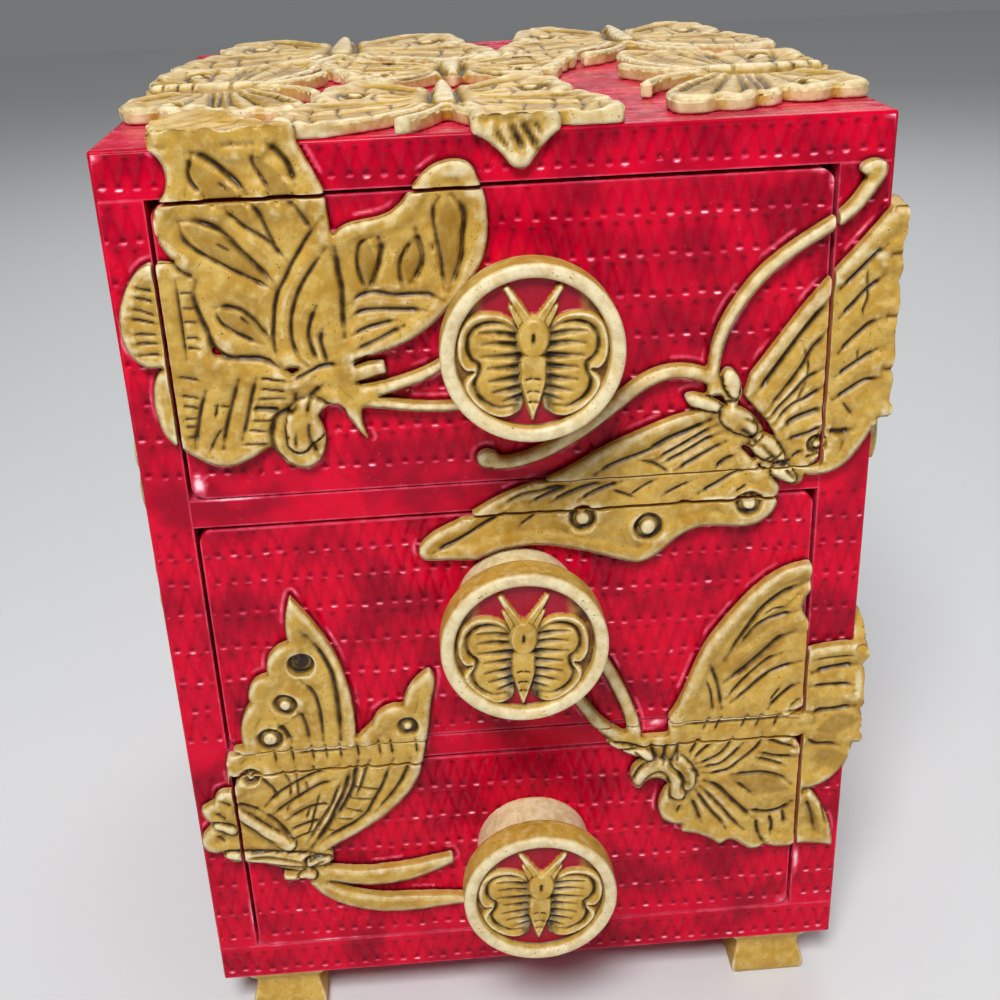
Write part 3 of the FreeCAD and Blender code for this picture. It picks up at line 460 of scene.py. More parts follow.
def cutAcross(form, faces, axis, places):
    # Cuts faces at every place along an axis, by halves, so that each cut meets only the faces near it
    if not len(places) or not faces:
        return faces
    middle = len(places) // 2
    near = dict.fromkeys(faces)  # keeps the order, so that every run cuts alike
    for face in faces:
        near.update(dict.fromkeys(list(face.edges) + list(face.verts)))
    spot, way = [0, 0, 0], [0, 0, 0]
    spot[axis], way[axis] = places[middle], 1
    made = bmesh.ops.bisect_plane(form, geom=list(near), dist=1e-7, plane_co=spot, plane_no=way)
    found = [item for item in made["geom"] if isinstance(item, bmesh.types.BMFace)]
    low = [face for face in found if face.calc_center_median()[axis] < places[middle]]
    high = [face for face in found if face.calc_center_median()[axis] >= places[middle]]
    return cutAcross(form, low, axis, places[:middle]) + cutAcross(form, high, axis, places[middle + 1:])


panelSides = {  # the outer faces of the case: axis, way out, place, and the axes along and up the face
    "front": (1, -1, frontY, 0, 2), "back": (1, 1, backY, 0, 2), "left": (0, -1, -sideX, 1, 2),
    "right": (0, 1, sideX, 1, 2), "top": (2, 1, lidZ, 0, 1),
}


def facesAt(form, axis, place):
    return [face for face in form.faces if all(abs(v.co[axis] - place) < 1e-6 for v in face.verts)]


def edgesOf(faces):
    return list(dict.fromkeys(edge for face in faces for edge in face.edges))


def lacquerPanel(node, sides):
    form = copyOf(node)
    for side in sides:
        axis, way, place, along, up = panelSides[side]
        step = 4 * chiselCuts["frontStep" if side == "front" else "otherStep"] * mm
        faces = facesAt(form, axis, place)
        bmesh.ops.dissolve_limit(form, angle_limit=0.001, edges=edgesOf(faces))
        faces = facesAt(form, axis, place)
        low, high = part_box(node)
        for line in (along, up):
            faces = cutAcross(form, faces, line, list(np.arange(low[line] + step / 2, high[line], step)))
        bmesh.ops.subdivide_edges(form, edges=edgesOf(faces), cuts=3, use_grid_fill=True)
        for face in facesAt(form, axis, place):
            face.smooth = True
    piece = finish(form, node)
    mesh = piece.data
    points = readArray(mesh.vertices, "co", 3)
    marks = {"cut": np.zeros(len(points)), "wearAndSheen": np.zeros(len(points))}
    low, high = [np.array(corner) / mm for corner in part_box(node)]
    for side in sides:
        axis, way, place, along, up = panelSides[side]
        held = np.where(abs(points[:, axis] - place) < 1e-6)[0]
        u, v = points[held, along] / mm, points[held, up] / mm
        edge = np.minimum.reduce([u - low[along], high[along] - u, v - low[up], high[up] - v])
        if side == "top":
            turn = 2 * math.pi * v / topStreaks["pitch"]
            depth = topStreaks["deep"] * (1 + np.sin(turn + 1.6 * np.sin(0.21 * u) + np.sin(0.9 * v)))
            # a painted sheen in broad streaks across the top, and painted shade in the ridges' hollows
            rubAndSheen = np.sin(0.5 * turn + 2.2 * np.sin(0.13 * u + 1)) - 0.55
            rubAndSheen = np.clip(rubAndSheen, topStreaks["rubAndSheen"], 1)
            shade = depth
        else:
            rows = frontRows if side == "front" else plainRows
            depth, shade, rubAndSheen = chiselled(u, v - underside, rows, 20 * list(panelSides).index(side) + 5)
            if side == "front" and high[along] - low[along] < 10:
                depth *= 0.75
        inset = ramp(edge, 0.15, 0.7)
        points[held, axis] -= way * depth * inset * mm
        marks["cut"][held] = shade * inset
        strong, reach = lacquerMarkings["edge"]
        rubAndSheen = np.maximum(rubAndSheen * inset, strong * np.exp(-(edge / reach) ** 2))
        if side == "front":
            for x, z, wide, tall in rubbedSpots:
                spot = ((u - x) / wide) ** 2 + ((v - underside - z) / tall) ** 2
                rubAndSheen = np.maximum(rubAndSheen, lacquerMarkings["spot"] * np.exp(-spot))
            gap = np.array([reliefTree.find((x * mm, 0, z * mm))[2] for x, z in zip(u, v)]) / mm
            patchy = np.clip(3 * np.sin(0.55 * u + 1) * np.sin(0.4 * v + 2), 0, 1)
            # a patchy pink band on the lacquer about 0.7 mm out from the reliefs
            strong, reach = lacquerMarkings["halo"]
            halo = np.exp(-((gap - lacquerMarkings["haloGap"]) / reach) ** 2)
            rubAndSheen = np.maximum(rubAndSheen, strong * patchy * halo)
            # painted shade in the crease where the reliefs meet the lacquer
            strong, reach = lacquerMarkings["crease"]
            marks["cut"][held] = np.maximum(marks["cut"][held], strong * np.exp(-(gap / reach) ** 2))
        marks["wearAndSheen"][held] = rubAndSheen
    mesh.vertices.foreach_set("co", points.astype(np.float32).ravel())
    for name, values in marks.items():
        writeMark(mesh, name, values)
    mesh.update()
    print(node, len(mesh.polygons))


def reliefPlan():
    # The reliefs' footprint on the front, as a tree of points, for the painted shade in the crease where they
    # meet the lacquer and the pale band beside them
    spots = []
    for name, node in nodes.items():
        if not name.startswith(("upper_left_b", "upper_right_b", "lower_left_b", "lower_right_b")):
            continue
        points = readArray(node.data.vertices, "co", 3)
        ends = points[readArray(node.data.edges, "vertices", 2)]
        ends = ends[(abs(ends[:, :, 1] - frontY) < 0.05 * mm).all(1)]
        for share in np.linspace(0, 1, 9):
            spots.append((ends[:, 0] + share * (ends[:, 1] - ends[:, 0]))[:, [0, 2]])
    spots = np.vstack(spots)
    tree = kdtree.KDTree(len(spots))
    for number, (x, z) in enumerate(spots):
        tree.insert((x, 0, z), number)
    tree.balance()
    return tree


reliefTree = reliefPlan()
lacquerSides = {"top_panel": ["front", "left", "right", "back", "top"],
                "bottom_panel": ["front", "left", "right", "back"],
                "left_side_panel": ["front", "left", "back"], "right_side_panel": ["front", "right", "back"],
                "back_panel": ["back"], "upper_shelf": ["front"], "lower_shelf": ["front"],
                "drawer_top_front": ["front"], "drawer_middle_front": ["front"],
                "drawer_bottom_front": ["front"]}
for node, sides in lacquerSides.items():
    lacquerPanel(node, sides)
print("lacquer chiselled")


def remeshed(node, size):
    # A copy of a solid with its surface in small even faces, so that it can be carved
    form = copyOf(node)
    mesh = bpy.data.meshes.new("block")
    form.to_mesh(mesh)
    form.free()
    block = bpy.data.objects.new("block", mesh)
    bpy.context.scene.collection.objects.link(block)
    remesh = block.modifiers.new("remesh", "REMESH")
    remesh.mode = "VOXEL"
    remesh.voxel_size = size * mm
    made = bpy.data.meshes.new_from_object(block.evaluated_get(bpy.context.evaluated_depsgraph_get()))
    form = bmesh.new()
    form.from_mesh(made)
    for old in (mesh, made):
        bpy.data.meshes.remove(old)
    for face in form.faces:
        face.smooth = True
    return form


lineKinds = {"deep": (0.8, 0.65), "mid": (0.6, 0.48), "fine": (0.42, 0.32)}
reliefForm = {  # millimetres: rounded edge, faces lowered below the bodies, tool waves, banks of the lines
    "round": 0.9, "wing": 0.25, "field": 0.35, "wave": 0.03, "bank": 0.75, "reach": 2.3, "deepest": 1.9,
    "eyeRing": 0.52, "eyeDeep": 0.8, "gutter": 0.95, "rootShade": 0.42, "rootShadeReach": 1.1,
}
dividers = [(0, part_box("drawer_top_front")[side].x / mm) for side in (0, 1)]
dividers += [(2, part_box("drawer_" + tier + "_front")[side].z / mm) for tier in ("top", "middle", "bottom")
             for side in (0, 1)]


def fromOutline(points, normals, flat, out, turned):
    # Distance of each point from the outline of its relief, but not from the straight cuts beside the drawers
    # nor from the edge where the relief turns over to the top
    reach = points @ turned
    walls = (abs(normals @ out) < 0.4) & ((abs(normals @ turned) < 0.7) | (reach < reach.max() - 2.8 * mm))
    for axis, place in dividers:
        walls &= (abs(points[:, axis] / mm - place) > 0.7) | (abs(normals[:, axis]) < 0.9)
    places = flat[walls]
    tree = kdtree.KDTree(len(places))
    for number, (x, y) in enumerate(places):
        tree.insert((x, y, 0), number)
    tree.balance()
    facing = np.where(normals @ out > 0.1)[0]
    gap = np.full(len(points), 9.0)
    gap[facing] = [tree.find((x, y, 0))[2] for x, y in flat[facing]]
    return gap


carvingMesh = {  # face size in mm, rounds of easing, strength of the rubbing and darkening, and a painted sheen that pales all of the top's carvings
    "front": (0.235, 4, 5.2, 0), "top": (0.36, 4, 2.5, 0.4), "side": (0.45, 3, 2.2, 0),
}


def carve(node, place, views):
    # Carves a relief from each side it shows: flat gives the drawing's coordinates in millimetres
    size, relax, gain, topSheen = carvingMesh[place]
    mesh = finish(relaxed(remeshed(node, size), relax), node).data
    mesh.update()
    points = readArray(mesh.vertices, "co", 3)
    normals = readArray(mesh.vertices, "normal", 3)
    marks, pale, sunk, beside = [np.zeros(len(points)) for kind in range(4)]
    corner = np.full(len(points), len(views) > 1)
    for view in views:
        out = np.array(view["out"], float)
        facing = ramp(normals @ out, 0.15, 0.7)
        height = points @ out / mm
        corner &= height > height.max() - 3.2
        flat = view["flat"](points / mm)
        edge = fromOutline(points, normals, flat, out, sum(np.array(v["out"], float) for v in views) - out)
        depth, mark = np.zeros(len(points)), np.zeros(len(points))
        for kind, (width, deep) in lineKinds.items():
            cutLines(flat, depth, mark, view["lines"].get(kind, ()), width, deep, reliefForm["bank"],
                     reliefForm["reach"])
        # a pit's dark share is painted shade in the hole
        for x, y, radius, deep, dark in view.get("pits", ()):
            gap = np.hypot(flat[:, 0] - x, flat[:, 1] - y)
            hole = 1 - ramp(gap, (radius - 0.35) if dark > 0.5 else 0, radius + 0.1)
            depth = np.maximum(depth, deep * hole)
            mark = np.maximum(mark, dark * hole)
        for x0, y0, x1, y1, wide in view.get("wells", ()):  # pointed ovals: the two tips and the width
            near, gap, along = distanceTo(flat, np.array([(x0, y0), (x1, y1)], float), wide)
            into = 0.5 * wide * np.sin(math.pi * along) - gap
            sunk[near] = np.maximum(sunk[near], ramp(into, -0.1, 0.5))
            beside[near] = np.maximum(beside[near], ramp(into, -1.1, -0.3))
        for x, y, radius in view.get("eyes", ()):
            gap = np.hypot(flat[:, 0] - x, flat[:, 1] - y)
            ring = np.exp(-((gap - radius) / reliefForm["eyeRing"] + 1) ** 4)
            depth = np.maximum(depth, reliefForm["eyeDeep"] * ring)
            mark = np.maximum(mark * (gap > radius - 1.0), 0.95 * ring)
            pale = np.maximum(pale, 0.75 * (gap < radius - 1.05))
        for x, y, wide, tall in view.get("spots", ()):  # places rubbed to the cream undercoat
            spot = ((flat[:, 0] - x) / wide) ** 2 + ((flat[:, 1] - y) / tall) ** 2
            pale = np.maximum(pale, 1.3 * np.exp(-spot))
        wave = np.sin(flat[:, 0] * 0.83 + 1.1) * np.sin(flat[:, 1] * 0.71 + 0.4)
        wave = wave + np.sin(flat[:, 0] * 1.9 - flat[:, 1] * 1.6)
        depth += reliefForm["wing"] + reliefForm["wave"] * (1 + wave)
        depth += reliefForm["field"] * ramp(edge, 1.3, 2.6)
        for line, width in view.get("bodies", ()):
            near, gap, along = distanceTo(flat, smoothLine(line), width + 1.2)
            width = width * (1 - 0.45 * along ** 2)
            swell = np.sqrt(np.clip(1 - (gap / width) ** 2, 0, 1))
            gutter = np.exp(-(np.maximum(gap - width, 0) / 0.5) ** 2) * ramp(gap, 0.75 * width, width)
            depth[near] = np.where(swell > 0.3, np.minimum(depth[near], 0.6 * (1 - swell) + 0.3 * mark[near]),
                                   np.maximum(depth[near], reliefForm["gutter"] * gutter))
            # painted shade on the wings around each body
            rootShade = np.exp(-(np.maximum(gap - width, 0) / reliefForm["rootShadeReach"]) ** 2)
            mark[near] = np.maximum(mark[near], reliefForm["rootShade"] * rootShade * ramp(gap, 0.8 * width, width))
        short = np.clip(1 - edge / reliefForm["round"], 0, 1)
        depth += reliefForm["round"] * (1 - np.sqrt(1 - short ** 2)) * 0.8
        lowered = np.maximum(height - height.max() + np.minimum(depth, reliefForm["deepest"]), 0)
        points -= (lowered * mm)[:, None] * out
        marks = np.maximum(marks, mark * facing)
    mesh.vertices.foreach_set("co", points.astype(np.float32).ravel())
    fine = standing(mesh, 5) * gain
    broad = standing(mesh, 30) * 0.35 * gain
    # umber wash in the lines, and painted shade in the creases and around the bodies
    writeMark(mesh, "cut", np.maximum(0.95 * marks, -0.9 * fine * ~corner * (beside < 0.2)))
    # ridges and spots rubbed pale, plus the painted sheen on the top's carvings
    writeMark(mesh, "wearAndSheen", np.maximum(0.6 * fine + broad, 0.9 * pale) - 0.6 * marks - 0.6 * beside + topSheen)
    # painted shade in the broad hollows and the wells
    writeMark(mesh, "hollowShade", np.maximum(-1.3 * broad, 0.45 * sunk))
    print(node, len(mesh.polygons))


def onFront(points):
    return points[:, [0, 2]] - np.array([0, underside])


def onRight(points):
    return points[:, [1, 2]] - np.array([frontY / mm, underside])


def onTop(points):
    return points[:, [0, 1]] - np.array([0, frontY / mm])


# Butterflies on the front: the cut lines of each, on the drawing of the front (x, z) in millimetres
upperLeft = {
    "deep": [
        [(-37.3, 132), (-36, 131.5), (-34.5, 130.35), (-33.2, 129.1), (-31.9, 127.8), (-31.15, 126.75)],
        [(-28.3, 132.8), (-27, 131.6), (-26, 130.35), (-25.6, 129.3), (-25.2, 127.5)],
        [(-39.75, 123.8), (-38.1, 123.7), (-36, 123), (-34.5, 121.75), (-33.2, 120.1), (-31.4, 118),
         (-30.1, 116.5), (-28.8, 114.7)],
        [(-36.9, 112.6), (-35.5, 112.6), (-33.7, 112), (-32.4, 110.8), (-31.4, 109.3), (-30.25, 107.8)],
        [(-21.1, 119.6), (-21, 116.5), (-20.75, 114.2), (-20.9, 110.3), (-20.9, 107.8)],
        [(-38.85, 116.2), (-39.4, 113.9), (-38.85, 111.35), (-38.1, 109), (-37.6, 107.2), (-36, 106),
         (-34, 105.7), (-31.7, 105.4), (-29.6, 104.2), (-28.3, 102.9)],
        [(-15.6, 120.4), (-15.35, 119), (-15.9, 116.9), (-17, 114.4), (-17.5, 113.6)],
        [(-10.9, 121.2), (-10.5, 119.3), (-10.2, 117.7), (-10.75, 116.05), (-11.8, 114.4)],
        [(-6.2, 125.2), (-5.1, 123.9), (-4.75, 122.3), (-5.1, 120.1), (-5.35, 117.4), (-6.2, 115.2),
         (-7.2, 113.1)],
        [(-28, 100.35), (-28.3, 98.5), (-30.6, 97.6), (-31.5, 95.75), (-31.7, 94.15), (-31.25, 92.1),
         (-29.2, 90.25)],
        [(-34, 98.7), (-29.9, 98.2)],
    ],
    "mid": [
        [(-37.3, 131.6), (-37.95, 129.6), (-37.6, 128.3), (-36.5, 127)],
        [(-29.7, 131.9), (-30.1, 130.6), (-29.6, 129.3), (-28.8, 128), (-28.3, 127.1)],
        [(-39.9, 123.7), (-39.6, 121.6), (-38.3, 120.1), (-36, 118.5), (-33.5, 117), (-30.9, 115.5),
         (-28.7, 114.4)],
        [(-36.9, 112.5), (-36.5, 110.8), (-35.25, 109.55), (-33.5, 108.5), (-31.7, 107.5)],
        [(-22.3, 123.4), (-23.7, 121.9), (-25.25, 119.8), (-26.8, 117.5), (-27.8, 115.7), (-28.7, 114.3),
         (-29.35, 112.4), (-29.7, 110.3), (-30, 108.3), (-29.9, 106.2), (-29.2, 104.4)],
        [(-22.2, 119.6), (-23.45, 118), (-25, 116), (-26.3, 113.9), (-27.2, 111.6), (-27.6, 109.6),
         (-27.6, 107.5), (-26.9, 105.4), (-25.8, 104.2)],
        [(-24.1, 112.1), (-25, 110.3), (-25.5, 108.3), (-25.1, 106), (-24.5, 104.3)],
        [(-23.6, 109), (-24, 107.5), (-23.6, 105.2), (-23.45, 104.2)],
        [(-34.2, 125.7), (-33.7, 124.45), (-31.9, 122.65), (-29.35, 120.85), (-28.1, 119.3), (-27, 118)],
        [(-31.15, 125.85), (-30.1, 124.45), (-29.35, 122.4), (-28.7, 120.6), (-28.1, 119.3)],
        [(-26.8, 125.85), (-25.5, 124.95), (-24.5, 123.2), (-23.8, 121.9)],
        [(-41.9, 119.3), (-40.65, 117.8), (-38.85, 116.4)],
        [(-35.05, 102.9), (-35.85, 100.8), (-36.5, 99), (-37.2, 97.1), (-37.9, 94.8), (-38.15, 93.5)],
        [(-32.75, 103), (-33.55, 100.8), (-34.2, 98.7), (-34.9, 96.4), (-35.6, 94.6)],
        [(-39.5, 101.5), (-40.45, 99), (-41.25, 96.2), (-41.8, 93.9)],
        [(-16.4, 120.6), (-17.9, 119.8), (-18.5, 117.9), (-18.3, 115.8), (-17.65, 113.6)],
        [(-11, 120.1), (-12.1, 119), (-13.05, 117.4), (-13.3, 115.5), (-12.9, 113.6)],
        [(-7.65, 125.1), (-8.5, 123.9), (-8.6, 122), (-8.3, 119.8), (-7.9, 117.1), (-7.8, 113.1)],
        [(-20.2, 112), (-18.6, 113.1), (-16.7, 113.5), (-14, 112.95), (-11.3, 112.95), (-9.4, 112.7),
         (-7.8, 111.9)],
        [(-20.2, 110.2), (-18.6, 111.05), (-16.4, 111.2), (-14, 111.05), (-11.3, 110.9), (-10.2, 110.8)],
        [(-19.95, 107.95), (-18.05, 108.8), (-15.9, 109.3), (-14, 109.7)],
        [(-19.95, 105.9), (-17.5, 106.9), (-15.1, 107.95), (-13.2, 108.9)],
        [(-28.3, 102.4), (-26.9, 102.9), (-24.4, 104), (-21.8, 104.3)],
        [(-24.4, 101.5), (-25.7, 100.35), (-26.4, 99), (-26.7, 97.6)],
        [(-26.4, 97.1), (-26.7, 95.1), (-26.2, 93), (-25.75, 91.6)],
        [(-20.5, 101.5), (-18, 101.6), (-15.9, 102.5)],
    ],
    "fine": (
        [[(-34.5, 128.3), (-33.5, 127.4)], [(-35.8, 120.85), (-34, 119.7)], [(-34, 111.35), (-32.7, 110.1)],
         [(-20.2, 104.4), (-17.8, 105.2)], [(-28.4, 95.3), (-28.6, 93.2)], [(-38.15, 99.9), (-38.7, 97.8)],
         [(-37.9, 96.4), (-39.1, 94.8), (-40, 93)], [(-37.9, 99.4), (-36.5, 99.2)],
         [(-41.3, 116.5), (-41.3, 106)]]
        + [[(-46.5 + a, z), (-44.3, z - b)] for a, z, b in (
            (0, 116, .8), (-.4, 114.8, 1), (-.8, 113.3, 1.3), (-1.3, 112, 1), (-1.2, 109.9, .4),
            (-1.1, 108.6, .2), (-1.1, 107.1, .1))]
        + [[(-41.1, z), (-39.2, z - 0.15)] for z in (114.8, 112.8, 111, 108.9, 107.6)]
        + [[(-42.8, z), (a, z - b)] for z, a, b in (
            (103.8, -40, .7), (101.2, -40.2, .6), (99.8, -40.45, .6), (97.9, -40.9, .1), (96.8, -41.1, .1),
            (95.4, -41.5, .1))]
        + [[(a, z), (b, z - c)] for a, z, b, c in (
            (-32.6, 102.9, -28.5, .6), (-32.6, 101.5, -29, .7), (-33.3, 100.1, -28.7, .3),
            (-34.2, 97.1, -30.8, .3), (-34.9, 95.8, -31.5, .5), (-35.6, 93.9, -31.7, .2))]),
}
upperRight = {
    "deep": [
        [(37, 91.2), (38.5, 92.4), (40.6, 93.2), (42.6, 93.9)], [(43.2, 90.6), (45.2, 90.2), (46.5, 90.5)],
        [(18, 88.8), (21.3, 90.6), (24.4, 91.9), (27, 93.2)], [(30.8, 92.1), (32.4, 90.9), (33.7, 89.3)],
        [(32.65, 96.1), (34.6, 98.4), (36.5, 101.1), (38.5, 104), (40.7, 106.9), (42.6, 109.4)],
    ],
    "mid": [
        [(34.4, 93.7), (36, 95.5), (37.5, 97.5), (39.3, 100.1), (40.3, 102.15), (41.4, 103.5), (42.6, 105.2)],
        [(34.7, 92.65), (36.5, 94.4), (38.5, 96.5), (40.1, 98.3), (42.1, 99.6)],
        [(35.7, 92), (38, 94.4), (40.1, 95.5), (42.4, 97.1)],
        [(37.5, 89.6), (39.8, 90.1), (41.9, 91.1), (42.6, 91.6)],
        [(43.7, 110.5), (45.8, 112.5), (48, 114.7), (49.4, 116.1)],
        [(43.8, 106.45), (45.5, 108.2), (47, 109.9), (48.5, 111.1), (49.4, 111.9)],
        [(44, 101.6), (45.8, 103.5), (48, 105.5), (49.4, 106.2)],
        [(43.85, 98.3), (46.5, 100.1), (49.2, 101.95)],
        [(43.7, 95), (45.7, 96.2), (47.8, 97.5), (50.1, 97.9)], [(33.5, 90), (36.4, 86.8), (39.6, 83.2)],
        [(19.5, 87.8), (23.1, 89.6), (26.5, 91.6), (28, 92.4)],
        [(20.3, 87.1), (23.1, 88.3), (26.5, 90.3), (28.3, 91.1)],
        [(22.4, 86.1), (24.7, 87.3), (27.5, 88.9), (29.3, 89.95)], [(28, 86.1), (29, 87), (30.6, 88)],
        [(11.3, 86.2), (13.9, 87.6), (17.1, 88.65), (19.8, 89.7), (22, 90.7)],
        [(-1.8, 82.4), (0.9, 83.8), (3.6, 84.3), (7.7, 84.9)], [(2.3, 82.7), (5, 83.8), (7.7, 84.9)],
        [(5, 82.4), (8, 83.8), (10.6, 84.6), (12.8, 84.9)], [(9, 82.7), (11.7, 83.8), (15, 84.9)],
        [(25.7, 82.4), (28.3, 83.7), (30.3, 84.9), (32.4, 85.7)],
        [(-11.5, 75.95), (-8.5, 77.3), (-5.6, 78.9), (-2.9, 80.5), (-1.2, 81.5)],
    ],
    "fine": [
        [(39.05, 103.4), (39.8, 101.4), (40.1, 99.3), (39.8, 97.5), (39.05, 95.7), (39.3, 93.9)],
        [(38.5, 87), (39.8, 88)], [(47, 113.3), (47.25, 110.8), (47.4, 109.1), (46.9, 107.4), (47, 106.2)],
        [(46.6, 102.1), (46.8, 99.6)], [(45, 94.7), (46.5, 92.7)], [(40.1, 86.9), (42.6, 87.5)],
        [(34.7, 87), (36, 87.8)], [(18.5, 88), (20.1, 87), (21.6, 85.7)],
        [(17.1, 88.1), (19.3, 87.3), (21.5, 85.9)], [(13.6, 83.8), (15.5, 83), (16.9, 82.4)],
        [(16, 82.7), (18, 84), (19.8, 84.9)], [(20.6, 82.4), (23.1, 83.7), (24.7, 84.4)],
        [(30.8, 82.4), (32.4, 83.4)], [(0.65, 79.2), (2.5, 80.5), (3.6, 81.35)],
        [(23.1, 81.35), (24.7, 81.2)], [(35.2, 86.4), (37.2, 88.2)], [(36.6, 85.2), (38.4, 86.9)],
        [(32.4, 88.7), (34.6, 90.9)], [(31.6, 93.4), (33.8, 92.2)],
    ],
}
lowerLeft = {
    "deep": [
        [(-30.15, 64.1), (-28.5, 61), (-27.3, 57.7), (-26.9, 54.2), (-26.8, 50), (-26.9, 45.9)],
        [(-24.7, 41.8), (-25.4, 39.2), (-26, 36.8), (-27.5, 33.7), (-29.4, 30.9)],
        [(-43.7, 32.5), (-41.5, 30.9), (-40, 29.1), (-37.8, 27.8)],
        [(-26, 40.9), (-26.6, 38.1), (-27.5, 35.6), (-28.8, 33.1), (-29.7, 30.9), (-31.6, 28.1),
         (-33.1, 26.3)],
        [(-35.8, 49.3), (-34.9, 47.6), (-34.2, 46.1)],
    ],
    "mid": [
        [(-31.8, 56.5), (-30.6, 55.05), (-29.85, 53.3), (-29.5, 50), (-29.5, 45.9)],
        [(-32.7, 51.5), (-31.9, 49.4), (-31.5, 45.9)],
        [(-39.4, 34.7), (-37.5, 36.5), (-34.7, 38.4), (-31.6, 39.9), (-27.5, 41.3)],
        [(-38.7, 32.8), (-36.6, 34.3), (-33.8, 36.2), (-31, 37.8), (-28.2, 38.7)],
        [(-36.25, 31.9), (-34.7, 32.8), (-32.2, 34), (-29.1, 34.3)],
        [(-36.25, 29.7), (-34.1, 30.6), (-31, 31.5)],
        [(-27.5, 38.7), (-28.2, 36.8), (-29.4, 34), (-31, 31.5), (-32.5, 29.1), (-33.8, 27)],
        [(-39.4, 40.3), (-38, 38.1), (-37.3, 36.2)], [(-43.7, 35.6), (-41.5, 34.7), (-40, 33.9)],
        [(-39.8, 33.7), (-37.8, 31.5), (-36.6, 29.4), (-36.1, 28.1)],
        [(-22.9, 41.8), (-23.7, 40), (-24.7, 37.1), (-25.8, 35)],
        [(-19.4, 41.8), (-20.4, 39.6), (-21.5, 36.8), (-22.9, 34.35), (-24.1, 32.2), (-26, 30.6),
         (-28.2, 29.4), (-31, 27.8), (-32.5, 26.6)],
        [(-16.8, 41.8), (-17.75, 39.3), (-19.1, 36.8), (-21, 34.35), (-22.9, 32.5)],
        [(-43.4, 25.6), (-40, 25.6), (-36.6, 24.7), (-34.7, 24.1)],
        [(-33.9, 24.2), (-32.6, 24.7), (-31.4, 25.1)], [(-46.7, 31.6), (-45.2, 30.4), (-43.4, 29.8)],
        [(-31.3, 24.2), (-33.6, 22.9)],
    ],
    "fine": (
        [[(-35.9, 28.1), (-33.45, 29.1), (-31, 29.7)], [(-31.5, 41.7), (-31.3, 40.4)],
         [(-36.4, 41.7), (-35.6, 39.9), (-35.2, 38.4), (-35.4, 35.9)],
         [(-34.1, 41.7), (-34.1, 38.4), (-34.15, 35)],
         [(-30.8, 37.1), (-31.3, 35.3), (-32.2, 32.5), (-32.8, 30.3), (-33.8, 28.4)],
         [(-32.9, 39), (-32.5, 36.6)], [(-26.6, 37.1), (-24.1, 36.7), (-21.5, 36.15)],
         [(-27.2, 35.1), (-22.6, 34.4)], [(-27.85, 33.3), (-24.4, 32.2)], [(-29.1, 31.5), (-26.1, 31)],
         [(-30.65, 29.4), (-28.2, 28.9)], [(-42.2, 26.4), (-40.3, 26.4)], [(-46.9, 34.4), (-45.4, 32.8)],
         [(-45.9, 36.6), (-44.4, 35.2)], [(-47.2, 30.2), (-46, 28.6)], [(-34, 44.06), (-25.4, 44.06)],
         [(-36.2, 33.6), (-35.4, 35.4)], [(-33.4, 32), (-32.6, 34)]]
        + [[(x, 45.6), (x + 0.25, 42.5)]
           for x in (-37, -34.4, -31.4, -29.4, -27.3, -24.7, -21.5, -19.7, -16)]),
}
